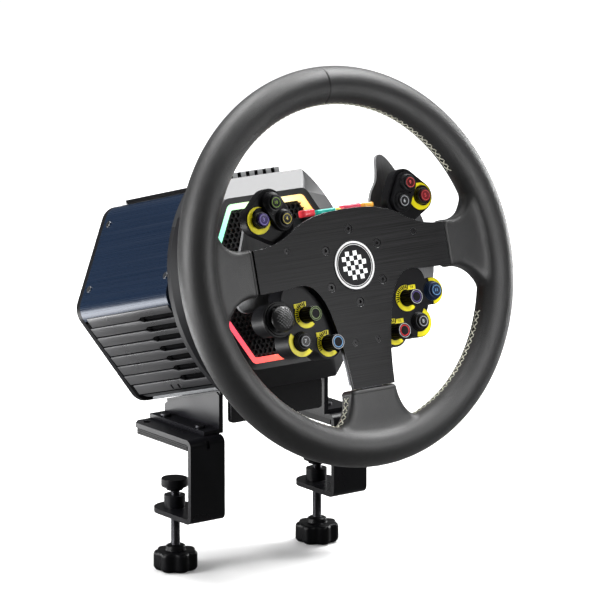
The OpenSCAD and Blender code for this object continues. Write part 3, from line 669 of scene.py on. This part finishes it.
def wrap_leather():
    """The leather as a mesh in the drive frame, and where its side and foot sleeves end."""
    outlines, front, back = sleeve_outlines()
    side_end = min(abs(x) for o in outlines for x, z in o if abs(z) < 30)
    foot_end = max(z for o in outlines for x, z in o if abs(x) < 24 and z < -80)
    sleeves = bmesh.new()
    for outline in outlines:
        slab(sleeves, outline, front, back)
    round_edges(sleeves, SLEEVE_EDGE, 3, 60)
    tree = BVHTree.FromBMesh(sleeves)
    tube = [(RIM_R + TUBE_R * cos(tau * s / 64), TUBE_R * sin(tau * s / 64)) for s in range(64)]
    lathe(sleeves, tube, steps=360, closed=True)
    joined = bpy.data.meshes.new("remesh_source")
    sleeves.to_mesh(joined)
    sleeves.free()
    mesh = evaluated(joined, "remesh_source", mode="VOXEL", voxel_size=VOXEL)

    points = np.empty(len(mesh.vertices) * 3)
    mesh.vertices.foreach_get("co", points)
    points = points.reshape(-1, 3)
    edges = np.empty(len(mesh.edges) * 2, int)
    mesh.edges.foreach_get("vertices", edges)
    edges = edges.reshape(-1, 2)
    near = np.array([tree.find_nearest(Vector(p))[3] or 0.0 for p in points])
    plain = near > BLEND[1]
    points = on_tube(points, plain)
    hem = end_distance(points[:, 0], points[:, 2], side_end, foot_end)
    weight = (1 - smooth_step(near, *BLEND)) * (0.06 + 0.94 * smooth_step(hem, 3, 12))
    points = relax(points, edges, weight, BLEND_ROUNDS)
    points = relax(points, edges, (~plain) * 0.5, EVEN_ROUNDS)
    points = on_tube(points)
    mesh.vertices.foreach_set("co", points.ravel())
    mesh.update()

    bm = bmesh.new()
    bm.from_mesh(mesh)
    bpy.data.meshes.remove(mesh)
    for x in TOP_SEAM:
        cut(bm, (x, 0, 0), (1, 0, 0), lambda c: c.z > 100 and abs(c.x) < 4)
    for y in INNER_SEAM:
        cut(bm, (0, y, 0), (0, 1, 0), lambda c: abs(c.y) < 3 and hypot(c.x, c.z) < INNER_R + 2)
    for gap in (HEM - 0.25, HEM + 0.25):
        for s in (-1, 1):
            cut(bm, (s * (side_end + gap), 0, 0), (1, 0, 0),
                lambda c: 80 < s * c.x < 104 and abs(c.z) < 48)
        cut(bm, (0, 0, foot_end - gap), (0, 0, 1), lambda c: abs(c.x) < 45 and -108 < c.z < -80)
    bm.normal_update()
    for v in bm.verts:
        x, y, z = v.co
        sink = 0.0
        if z > 100 and abs(x) < 0.6:
            sink = TOP_SEAM_SINK
        elif hypot(x, z) < INNER_R + 2 and abs(y) < 0.5 and stitched(x, z):
            sink = INNER_SEAM_SINK
        back_from = float(end_distance(np.array(x), np.array(z), side_end, foot_end))
        if 0.3 < back_from < HEM - 0.1:
            sink = -HEM_RISE
        v.co -= v.normal * sink
    return bm, side_end, foot_end


def stitched(x, z):
    """Whether the inner seam is stitched at this point of the wheel's plane."""
    off_side = min(abs(atan2(z, abs(x))), pi)
    return z < 0 and off_side > radians(SEAM_REACH - 5) or off_side > radians(SEAM_REACH)


def inner_loop(bm):
    """The inside contour of the leather in the wheel's plane, one way round from the right spoke."""
    copy = bm.copy()
    whole = copy.verts[:] + copy.edges[:] + copy.faces[:]
    made = bmesh.ops.bisect_plane(copy, geom=whole, plane_co=(0, 0.1, 0), plane_no=(0, 1, 0), dist=1e-4)
    edges = {g for g in made["geom_cut"] if isinstance(g, bmesh.types.BMEdge)}
    loops = []
    while edges:
        first = edges.pop()
        chain = list(first.verts)
        while chain[-1] is not chain[0]:
            ahead = next((e for e in chain[-1].link_edges if e in edges), None)
            if ahead is None:
                break
            edges.discard(ahead)
            chain.append(ahead.other_vert(chain[-1]))
        loops.append([Vector((v.co.x, 0, v.co.z)) for v in chain])
    copy.free()
    inside = [l for l in loops if sum(p.length for p in l) / len(l) < RIM_R]
    loop = max(inside, key=len)[:-1]
    if sum(a.x * b.z - b.x * a.z for a, b in zip(loop, loop[1:])) < 0:
        loop.reverse()
    right = [i for i, p in enumerate(loop) if p.x > 0]
    start = min(right, key=lambda i: (round(abs(loop[i].z), 3), loop[i].z))
    return loop[start:] + loop[:start + 1]


def spaced(loop, step):
    """Points at even spacing along a polyline."""
    out, left = [], 0.0
    for a, b in zip(loop, loop[1:]):
        length = (b - a).length
        while left < length:
            out.append(a.lerp(b, left / length))
            left += step
        left -= length
    return out


def sew(bm, side_end, foot_end):
    """Cross stitches over the inner seam, laid on the leather's surface."""
    skin = BVHTree.FromBMesh(bm)
    stations = spaced(inner_loop(bm), STITCH_STEP)
    threads = bmesh.new()
    lifts = ((0, -0.5), (0.04, 0.1), (0.25, 0.45), (0.5, 0.55), (0.75, 0.45), (0.96, 0.1), (1, -0.5))

    def surface(point, outward, depth):
        return skin.ray_cast(point + outward * 5 + Vector((0, depth, 0)), -outward, 12)[:2]

    for a, b in zip(stations, stations[1:]):
        if not (stitched(a.x, a.z) and stitched(b.x, b.z)) or (b - a).length > STITCH_STEP * 1.2:
            continue
        ends = np.array([(p.x, p.z) for p in (a, b)])
        if end_distance(ends[:, 0], ends[:, 1], side_end, foot_end).min() < 0.6:
            continue
        along = (b - a).normalized()
        outward = Vector((along.z, 0, -along.x))
        if outward.dot(a) > 0:
            outward = -outward
        if skin.find_nearest((a + b) / 2 + outward * 0.5)[1].dot(outward) < 0:
            outward = -outward
        for lean in (-1, 1):
            path = []
            for share, lift in lifts:
                lift += 0.2 * (lean > 0 and share == 0.5)
                where = a.lerp(b, 0.08 + 0.84 * share)
                spot, normal = surface(where, outward, lean * STITCH_HALF * (2 * share - 1))
                if spot is None:
                    break
                path.append(spot + normal * lift)
            if len(path) == len(lifts):
                cord(threads, path, CORD_R)
    piece_from(threads, "rim_stitching", THREAD, "wheel")


leather_mesh, side_end, foot_end = wrap_leather()
sew(leather_mesh, side_end, foot_end)
piece_from(leather_mesh, "rim_leather", LEATHER, "wheel", replaces=("rim_wrap",), crease=70)


# ---------- wheel: plate, badge, pods ----------

softened("faceplate", (PLATE, POLISHED), 0.45, paint=lambda f, c: 0.25 < abs(f.normal.y) < 0.93)
for node, look, width in (("rim_armature", HUB, 0.3), ("hub_bolts", CAP_BLACK, 0.3),
                          ("plate_screws", CAP_BLACK, 0.25), ("badge", BADGE, 0.25),
                          ("pod_covers", POD, 0.6), ("rear_case", POD, 0.4),
                          ("wheel_hub", HUB, 0.5), ("quick_release_collar", HUB, 0.6)):
    softened(node, look, width)


def badge_marks():
    """A plain double ring and a chequered patch on the badge."""
    low, high = drive_box("badge")
    radius, back = high.x, low.y + 0.1
    bm = bmesh.new()
    washer(bm, radius - 2.4, radius - 0.8, low.y - 0.12, back, edge=0.05, steps=96)
    washer(bm, radius - 3.7, radius - 3.3, low.y - 0.08, back, edge=0.03, steps=96)
    square = radius * 0.19
    for i in range(-3, 3):
        for j in range(-3, 3):
            x, z = i * square, j * square
            if (i + j) % 2 == 0 and hypot(i + 0.5, j + 0.5) < 3:
                slab(bm, rectangle(x, z, x + square, z + square), low.y - 0.1, back)
    piece_from(bm, "badge_marks", WHITE, "wheel")


badge_marks()
for pod in ("upper_left", "upper_right", "lower_left", "lower_right"):
    softened("pod_" + pod, POD, 0.9, 4)
softened("scale_plates", YELLOW, 0.12, 2)


# ---------- controls ----------

LIME = (0.20, 0.34, 0.05)
VIOLET = (0.035, 0.02, 0.11)
LILAC = (0.2, 0.17, 0.42)
AMBER = (0.55, 0.45, 0.08)
RED = (0.5, 0.015, 0.02)
ROSE = (0.45, 0.05, 0.05)
DARK_RED = (0.05, 0.005, 0.006)
WINE = (0.13, 0.008, 0.012)
PALE = (0.34, 0.35, 0.37)
NAVY = (0.008, 0.018, 0.045)
SKY = (0.12, 0.28, 0.5)
COAL = (0.006, 0.006, 0.007)
MOSS = (0.12, 0.17, 0.06)
PURPLE = (0.06, 0.04, 0.16)

CAP_RING = (0.72, 0.82)  # a button's coloured ring, in shares of its cap's radius
CAP_FOOT, FLANGE_BACK = 1.2, 2.4  # depths of a button's flange, hidden in the pod
CAP_GAP = 0.12  # gap between a cap and its turret
CAP_STAND = 1.7  # how far a cap stands out of its turret
LOW_DECK, HIGH_DECK = -1.0, -5.0  # depths of the pods' decks, which the turrets rise from
FLUTES, FLUTE_DEPTH = 16, 0.55
KNOB_NOSE, KNOB_SKIRT = 0.9, 12.2  # depth of an encoder's rounded nose, and of its fluted skirt
TICKS, TICK_STEP = 12, 10.5  # marks on a yellow plate, and degrees between them

paints = {}


def paint(color):
    """Satin moulded plastic of a colour, made once."""
    if color not in paints:
        name = f"colour_{len(paints)}"
        paints[color] = moulded(name, color, 0.34, 0.3, 0.006, gloss=0.25)
    return paints[color]


def push_button(label, face, side, ring, width, ribs=3, turret=CAP_BLACK):
    """Cap with a coloured ring and number, in a stepped turret fixed to the pod."""
    node = "button_" + label
    front, back, at, flange = round_box(node)
    r = flange - 1
    ring_in, ring_out = (r * share for share in CAP_RING)
    body = bodied(node)
    bm = bmesh.new()
    nose = [(0, front + 0.5), (r * 0.74, front + 0.35), (r * 0.84, front), (r, front), (r, CAP_FOOT)]
    tail = [(flange, CAP_FOOT), (flange, FLANGE_BACK), (r - 0.4, FLANGE_BACK), (r - 0.4, back), (0, back)]
    lathe(bm, rounded(nose, 0.45, 3) + tail, at, 56)
    for f in bm.faces:
        c = f.calc_center_median()
        f.material_index = 0 if hypot(c.x - at[0], c.z - at[1]) < ring_out and c.y < 0 else 1
    colors = (paint(face), paint(side))
    piece_from(bm, node + "_cap", colors, body, replaces=(node,))
    washer_piece(node + "_ring", paint(ring), body, "button_plastic",
                 ring_in, ring_out, front + 0.1, front + 0.8, at, 0.1)
    size = r * (0.82 if len(label) == 1 else 0.68)
    digits(label, size, at, front + 0.42, paint(ring), body, node + "_digits")
    bm = bmesh.new()
    hole = r + CAP_GAP
    deck = HIGH_DECK if front < -9.5 or label in ("9", "6") else LOW_DECK
    top = front + CAP_STAND
    steps = [(hole, 0.5), (hole, top + 0.3), (hole + 0.3, top), (hole + 0.95, top)]
    rise = (deck - top) / ribs
    for k in range(ribs):
        out = hole + 1.15 + (width - 1.15) * (k + 1) / ribs
        level = top + rise * (k + 0.35)
        steps += [(out, level), (out, level + rise * 0.55), (out - 0.25, level + rise * 0.65)]
    steps += [(hole + width + 0.3, deck), (hole + width + 0.3, 0.5)]
    lathe(bm, rounded(steps, 0.22, 2, True), at, 56, True)
    piece_from(bm, node + "_turret", turret, "wheel")


push_button("10", COAL, COAL, LIME, 3.5, 5)
push_button("3", VIOLET, VIOLET, LILAC, 1.6)
push_button("4", COAL, COAL, AMBER, 3.1, 4)
push_button("9", DARK_RED, COAL, ROSE, 2.3)
push_button("5", WINE, DARK_RED, ROSE, 1.6)
push_button("6", COAL, COAL, PALE, 2.3, turret=POD)
push_button("7", COAL, COAL, PALE, 2.9)
push_button("11", NAVY, NAVY, SKY, 2.9, turret=paint(NAVY))
push_button("8", COAL, COAL, PALE, 2.9)


def encoder(name, edge, ring, label):
    """Fluted knob with a coloured rim and ring, and the ticks and number on its yellow plate."""
    node = "encoder_" + name
    front, _, at, r = round_box(node)
    body = bodied(node)

    def flute(radius, depth, angle):
        fade = min(max((depth - front - KNOB_NOSE) / 0.8, 0), 1) * (radius > r - 0.6)
        return radius - fade * FLUTE_DEPTH * (0.5 + 0.5 * cos(FLUTES * angle)) ** 2

    bm = bmesh.new()
    nose = [(0, front + 0.5), (r * 0.5, front + 0.3), (r * 0.86, front), (r, front + KNOB_NOSE)]
    skirt = [(r, front + KNOB_NOSE + KNOB_SKIRT * k / 8) for k in range(1, 9)]
    foot = [(3, skirt[-1][1] + 0.1), (3, 1.1), (4.5, 1.1), (4.5, 2.4), (3, 2.4), (3, 4), (0, 4)]
    lathe(bm, rounded(nose, 0.5, 3) + skirt + foot, at, FLUTES * 8, wave=flute)
    piece_from(bm, node + "_knob", KNOB, body, replaces=(node,))
    washer_piece(node + "_rim", paint(edge), body, "button_plastic",
                 r * 0.84, r * 0.92, front - 0.08, front + 0.5, at, 0.08)
    washer_piece(node + "_ring", paint(ring), body, "button_plastic",
                 r * 0.6, r * 0.73, front - 0.02, front + 0.6, at, 0.1)
    bm = bmesh.new()
    x, z = at
    block(bm, (x - 0.3, front + 1.2, z + r - 0.35), (x + 0.3, front + 6, z + r + 0.02), 0.08)
    piece_from(bm, node + "_pointer", WHITE, body)

    bm = bmesh.new()
    start = 76 if x > 0 else 92
    for k in range(TICKS):
        angle = radians(start + TICK_STEP * k)
        out, across = Vector((cos(angle), sin(angle))), Vector((-sin(angle), cos(angle))) * 0.48
        near, far = Vector(at) + out * (7.9 if k % 3 else 7.2), Vector(at) + out * 10.3
        loop = [near - across, far - across, far + across, near + across]
        slab(bm, loop, plate_front - 0.06, plate_front + 0.2)
    piece_from(bm, node + "_ticks", INK, "wheel")
    tab = (x + (6.4 if x > 0 else -6.4), z + 8)
    digits(label, 3.2, tab, plate_front, INK, "wheel", node + "_number")


plate_front = drive_box("scale_plates")[0].y
encoder("green", MOSS, MOSS, "12")
encoder("blue", PALE, SKY, "13")
encoder("purple", PALE, PURPLE, "14")
encoder("red", PALE, RED, "15")


def thumb_stick():
    """Domed cap with a diamond knurl on its shaft, and the collar round it.

    The dome is turned flat and then shaped; what lies behind it is turned shift too deep and moved back.
    """
    front, back, at, radius = round_box("thumb_stick")
    r, front = radius * 1.06, front + 1.4
    height, pitch, knurl_r, rings = 5.6, 1.9, r * 0.85, 44
    shift = 1.6 - (front + height)
    bm = bmesh.new()
    flat = [(r * sin(pi / 2 * k / rings), 0) for k in range(rings + 1)]
    under = [(r - 0.2, 1.8), (r - 1.4, 1.4), (r - 3, 0.9), (3.2, 0.9), (3, 4)]
    lathe(bm, flat + under + [(3, back + shift), (0, back + shift)], (0, 0), 132)
    for v in bm.verts:
        x, z = v.co.x, v.co.z
        if v.co.y > 0.5:
            v.co.y -= shift
        else:
            dome = front + height * (1 - sqrt(max(0.0, 1 - (hypot(x, z) / r) ** 2)))
            fade = min(max((knurl_r - hypot(x, z)) / 0.8, 0), 1)
            knob = abs(sin(pi * (x + z) / pitch / sqrt(2))) * abs(sin(pi * (x - z) / pitch / sqrt(2)))
            v.co.y = dome - fade * 0.5 * knob + 0.15
        v.co.x += at[0]
        v.co.z += at[1]
    piece_from(bm, "thumb_stick_cap", GRIP, bodied("thumb_stick"), replaces=("thumb_stick",),
               crease=60)
    washer_piece("stick_collar", POD, "wheel", "pod_plastic", 12.75, 14.6, -2.1, 1, at, 0.6, 72)


thumb_stick()


def lenses():
    """Coloured caps of the light strip, one for each solid in the CAD node, from left to right."""
    caps = [((0.75, 0.05, 0.07), 1.0), ((0.02, 0.5, 0.42), 2.5), ((0.85, 0.75, 0.12), 3.1),
            ((0.75, 0.06, 0.12), 1.9), ((0.85, 0.45, 0.06), 2.4)]  # colour, and how much lower than the CAD
    source = cad_mesh("light_lenses")
    boxes = sorted((corners([v.co for v in group]) for group in islands(source)), key=lambda b: b[0].x)
    source.free()
    inset = Vector((0.45, 0, 0))
    for k, (low, high) in enumerate(boxes):
        color, drop = caps[k]
        bm = bmesh.new()
        block(bm, low + inset, high - inset - Vector((0, 0, drop)), 1.5, 5)
        name = f"lens_{k}"
        stands_for = () if k else ("light_lenses",)
        piece_from(bm, name, glazed(name, color, 0.35), "wheel", replaces=stands_for)


lenses()
for side in ("left", "right"):
    softened("shift_paddle_" + side, SATIN, 0.7, 4)
finished(STEEL, "paddle_pins", "drive_shaft", "shaft_bearings")
finished(CAP_BLACK, "stick_gimbal")
finished(BOARD, "control_boards", "main_board")
finished(IRON, "rotor")
finished(COPPER, "stator")


# ---------- base ----------

MINT = (0.25, 0.75, 0.5)
PALE_YELLOW = (0.9, 0.85, 0.45)
ORANGE = (0.95, 0.38, 0.04)
PINK = (0.85, 0.08, 0.12)
SCARLET = (0.95, 0.12, 0.08)
VERMILION = (0.9, 0.16, 0.08)
PALE_GREEN = (0.6, 0.85, 0.5)
RING_STOPS = [(0, PINK), (0.12, PINK), (0.22, SCARLET), (0.3, VERMILION), (0.5, ORANGE), (0.62, ORANGE),
              (0.72, PALE_YELLOW), (0.8, PALE_GREEN), (0.88, MINT), (0.99, MINT)]
softened("light_ring", lit("ring_light", RING_STOPS, 1.6), 0.4)
ring_front = drive_box("light_ring")[0].y


def shroud_shaded(face, centre):
    """Faces of the shroud given a darker, duller copy of its plastic as painted shade: its lower flanks
    behind the ring, and its underside.
    """
    return centre.z < -62 or (centre.y > ring_front + 2 and centre.z < 55)


softened("front_shroud", (SHROUD, SHROUD_SHADED), 0.9, 4, shroud_shaded)


def honeycomb():
    """Fine honeycomb inside the light ring, on a dark back plate, both open round the shaft."""
    low, high = drive_box("mesh_grille")
    reach = high.z + 1.6
    pitch, wall = 4.6, 0.95
    outer = pitch / sqrt(3)
    inner = outer - wall / sqrt(3)
    hub, bore = 26, 23  # radii of the honeycomb's opening and of the ring inside it
    bm = bmesh.new()
    rows = ceil(reach / (pitch * cos(pi / 6)))
    for j in range(-rows, rows + 1):
        for i in range(-2 * rows, 2 * rows + 1):
            x, z = (i + j / 2) * pitch, j * pitch * cos(pi / 6)
            edge = max(x * cos(radians(a)) + z * sin(radians(a)) for a in range(30, 360, 60))
            if edge > reach or hypot(x, z) < hub:
                continue
            turn = [pi / 6 + k * pi / 3 for k in range(6)]
            rings = [[bm.verts.new((x + r * cos(a), y, z + r * sin(a))) for a in turn]
                     for r, y in ((outer, low.y), (inner, low.y), (inner - 0.1, high.y))]
            for a, b in zip(rings, rings[1:]):
                for k in range(6):
                    m = (k + 1) % 6
                    bm.faces.new((a[k], a[m], b[m], b[k]))
    bmesh.ops.remove_doubles(bm, verts=bm.verts, dist=0.01)
    washer(bm, bore, hub + 2.5, low.y - 0.3, high.y, edge=0.3, steps=64)
    piece_from(bm, "mesh_honeycomb", MESH, "base", replaces=("mesh_grille",), crease=25)

    def six_sided(radius, depth, angle):
        """Keeps the bore round and takes the outer edge to the hexagon."""
        return radius if radius == bore else radius / cos(angle % (pi / 3) - pi / 6)

    bm = bmesh.new()
    apothem, front, back = high.z + 0.5, high.y - 0.2, high.y + 0.3
    lathe(bm, rectangle(bore, front, apothem, back), steps=96, closed=True, wave=six_sided)
    piece_from(bm, "mesh_back", SHROUD, "base")


honeycomb()
for side in ("left", "right"):
    softened("side_panel_" + side, BLUE, 0.5)
softened("panel_screws", turned("panel_screw_steel", (0.22, 0.23, 0.25)), 0.3)

VENT_RIBS, VENT_PITCH = 8, 10
SLOT_END, VENT_REAR = 175, 253.5  # depths at which the open slots and the ribs end


def vent_panel(node, side):
    """Near-black sheet, painted shade in the grooves and open slots, under eight leaning ribs, which narrow
    in front to leave open slots.
    """
    outward = Vector((side * cos(pi / 6), 0, -sin(pi / 6)))
    upward = Vector((side * 0.5, 0, cos(pi / 6)))
    bm = cad_mesh(node)
    skin = max(v.co.dot(outward) for v in bm.verts)
    front = min(v.co.y for v in bm.verts) + 1

    def plate(bm, loop, bottom, top, lean=0.0, edge=0.0):
        """Adds a plate over a loop of (across, along) points, its lower edge sunk by lean."""
        before = set(bm.verts)
        slab(bm, loop, bottom, top, edge)
        added = set(bm.verts) - before
        highest = max(across for across, along in loop)
        for v in added:
            sunk = lean * (highest - v.co.x) / VENT_PITCH
            v.co = outward * (skin + v.co.y - sunk) + upward * v.co.x + Vector((0, v.co.z, 0))

    plate(bm, rectangle(-39, front, 39, SLOT_END + 4), -1.7, -1.5)
    for near in (186, 196):
        plate(bm, rectangle(-38.6, near, -34.4, near + 2.4), 0.5, 1.12)
    piece_from(bm, node + "_skin", VENT_SHADE, "base", replaces=(node,))
    bm = bmesh.new()
    for k in range(VENT_RIBS):
        first, last = k == 0, k == VENT_RIBS - 1
        low = VENT_PITCH * (k - VENT_RIBS / 2) + 0.5
        high = low + VENT_PITCH - 1
        slim_low, slim_high = low + (0 if first else 2.1), high - (0 if last else 2.1)
        end = VENT_REAR - (4 if first or last else 0)
        loop = [(low, end), (high, end), (high, SLOT_END + 5), (slim_high, SLOT_END), (slim_high, front),
                (slim_low, front), (slim_low, SLOT_END), (low, SLOT_END + 5)]
        plate(bm, loop, -0.6, 1.1, 0 if first or last else 0.7, 0.35)
    piece_from(bm, node + "_ribs", RIB, "base", crease=50)


vent_panel("vent_panel_left", -1)
vent_panel("vent_panel_right", 1)

cover_low, cover_high = drive_box("top_cover")


def block_face(face, centre):
    """The grey faces of the top cover: the fronts of its blocks and the front part of their tops."""
    depth = centre.y - cover_low.y
    return (centre.z > cover_high.z - 1.2 and depth < 6) or (centre.z > cover_low.z + 5 and depth < 1.6)


softened("top_cover", (RUBBER, BLOCKS), 0.4, paint=block_face)
softened("rear_cover", POD, 0.6)
softened("motor_housing", CAST, 0.6)


# ---------- stand ----------

softened("stand_cradle", COAT, 0.8)
softened("stand_bolts", SCREW, 0.3)
softened("clamp_pads", RUBBER, 0.12, 2)
front_plate = bmesh.new()
slab(front_plate, rounded(rectangle(-46, 17, 46, 43.5), 3.5, 5, True), -0.6, 5.6, 1.4, 4)
piece_from(front_plate, "cradle_front_plate", GLOSS, bodied("stand_cradle"), ROW)


def downward(x, y):
    """Space for turned pieces whose depth runs down from the table top at a point."""
    turn = Matrix(((1, 0, 0, 0), (0, 0, 1, 0), (0, -1, 0, 0), (0, 0, 0, 1)))
    return ROW @ Matrix.Translation((x, y, 0)) @ turn


def clamp_screw(side):
    """Threaded screw with a lobed knob."""
    node = "clamp_screw_" + side
    low, high = row_box(node)
    space = downward((low.x + high.x) / 2, (low.y + high.y) / 2)
    top, bottom = -high.z, -low.z
    screw_r, pitch, groove = 4.0, 1.25, 0.62
    knob_h, lobes, hollow = 16, 7, 2.6
    knob_top = bottom - knob_h
    reach = (high.x - low.x) / 2

    def thread(radius, depth, angle):
        if radius < screw_r - 0.01:
            return radius
        phase = (depth / pitch - angle / tau) % 1
        return radius - groove * abs(2 * phase - 1)

    bm = bmesh.new()
    rows = int((knob_top - top - 1) / pitch * 5)
    shank = [(screw_r, top + 0.6 + (knob_top - top - 0.6) * k / rows) for k in range(rows + 1)]
    lathe(bm, [(0, top), (screw_r - 0.8, top)] + shank + [(0, knob_top + 0.2)], steps=30, wave=thread)
    piece_from(bm, node + "_thread", SCREW, bodied(node), space, crease=80)

    def lobe(radius, depth, angle):
        dip = hollow * radius / reach * (0.5 - 0.5 * cos(lobes * angle)) ** 1.3
        return radius - dip if radius > 9 else radius

    bm = bmesh.new()
    outline = [(0, knob_top - 5), (5.4, knob_top - 5), (8, knob_top - 4), (8.4, knob_top),
               (reach - 1.2, knob_top), (reach, knob_top + 2), (reach, bottom - 2.5), (reach - 2, bottom),
               (11, bottom), (8.5, bottom - 1.5), (0, bottom - 1.5)]
    lathe(bm, rounded(outline, 1.1, 4), steps=lobes * 18, wave=lobe)
    piece_from(bm, node + "_knob", RUBBER, bodied(node), space, (node,), crease=60)


for side in ("left", "right"):
    softened("clamp_bracket_" + side, COAT, 0.5)
    softened("clamp_foot_" + side, RUBBER, 0.8)
    clamp_screw(side)


# ---------- studio ----------

def studio():
    """Pale floor, soft lights, the camera and the world."""
    scene = bpy.context.scene
    bm = bmesh.new()
    bmesh.ops.create_grid(bm, x_segments=2, y_segments=2, size=14)
    mesh = bpy.data.meshes.new("floor")
    bm.to_mesh(mesh)
    bm.free()
    floor = bpy.data.objects.new("floor", mesh)
    floor.location.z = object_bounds()[0][2] - 0.0005
    pale = Look("floor_pale", (0.82, 0.82, 0.82), 0.6)
    seen = pale.add("LightPath", {}).outputs["Is Camera Ray"]
    cloth = pale.mix(pale.noise(400), (0.8, 0.8, 0.8, 1), (0.84, 0.84, 0.84, 1))
    pale.put("Base Color", pale.mix(seen, (0.08, 0.08, 0.08, 1), cloth))
    away = pale.add("VectorMath", {0: pale.place()}, operation="LENGTH").outputs["Value"]
    pale.put("Emission Color", (1, 1, 1, 1))
    pale.put("Emission Strength", pale.maths("MULTIPLY", seen, pale.span(away, 0.05, 0.8, 250, 1200)))
    mesh.materials.append(pale.material)
    scene.collection.objects.link(floor)
    floor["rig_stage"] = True

    aim = CENTRE + Vector((0, 0.05, -0.02))

    def softbox(name, at, size, power):
        """Area light at a place in metres, turned to the wheel; power in watts."""
        data = bpy.data.lights.new(name, "AREA")
        data.shape = "RECTANGLE"
        data.size, data.size_y = size
        data.energy = power
        lamp = bpy.data.objects.new(name, data)
        lamp.location = at
        lamp.rotation_euler = (aim - Vector(at)).to_track_quat("-Z", "Y").to_euler()
        lamp.visible_camera = False
        scene.collection.objects.link(lamp)

    softbox("overhead", (-0.1, 0.6, 1.8), (1.4, 1.1), 46)
    softbox("left", (-1.5, 0.3, 0.5), (0.5, 1.4), 36)
    softbox("left_low", (-0.32, 0.3, -0.1), (0.5, 0.24), 3.2)
    softbox("right_high", (0.85, 0.6, 1.28), (0.8, 0.8), 6.5)
    softbox("right_front", (0.95, -0.1, 1.35), (0.7, 0.7), 34)
    softbox("right_back", (1.5, 0.2, 0.0), (0.4, 1.3), 24)
    softbox("front", (0.10, -0.37, 0.17), (0.16, 0.2), 0.7)

    camera = bpy.data.objects.new("camera", bpy.data.cameras.new("camera"))
    camera.data.lens = 300
    camera.data.sensor_width = 36
    camera.data.clip_end = 50
    azimuth, elevation = radians(-36.41), radians(12.92)
    look = Vector((-sin(azimuth) * cos(elevation), cos(azimuth) * cos(elevation), -sin(elevation)))
    camera.location = CENTRE + Vector((-2.3278, -3.0908, 0.8600))
    camera.rotation_euler = look.to_track_quat("-Z", "Y").to_euler()
    scene.collection.objects.link(camera)
    scene.camera = camera

    world = bpy.data.worlds.new("studio")
    world.use_nodes = True
    scene.world = world
    tree = world.node_tree
    back = tree.nodes["Background"]
    back.inputs["Color"].default_value = (1, 1, 1, 1)
    shade = tree.nodes.new("ShaderNodeMapRange")
    shade.inputs["To Min"].default_value = 0.13  # white for the camera, dim for everything else
    seen = tree.nodes.new("ShaderNodeLightPath").outputs["Is Camera Ray"]
    tree.links.new(seen, shade.inputs["Value"])
    tree.links.new(shade.outputs[0], back.inputs["Strength"])
    scene.view_settings.view_transform = "Standard"


studio()
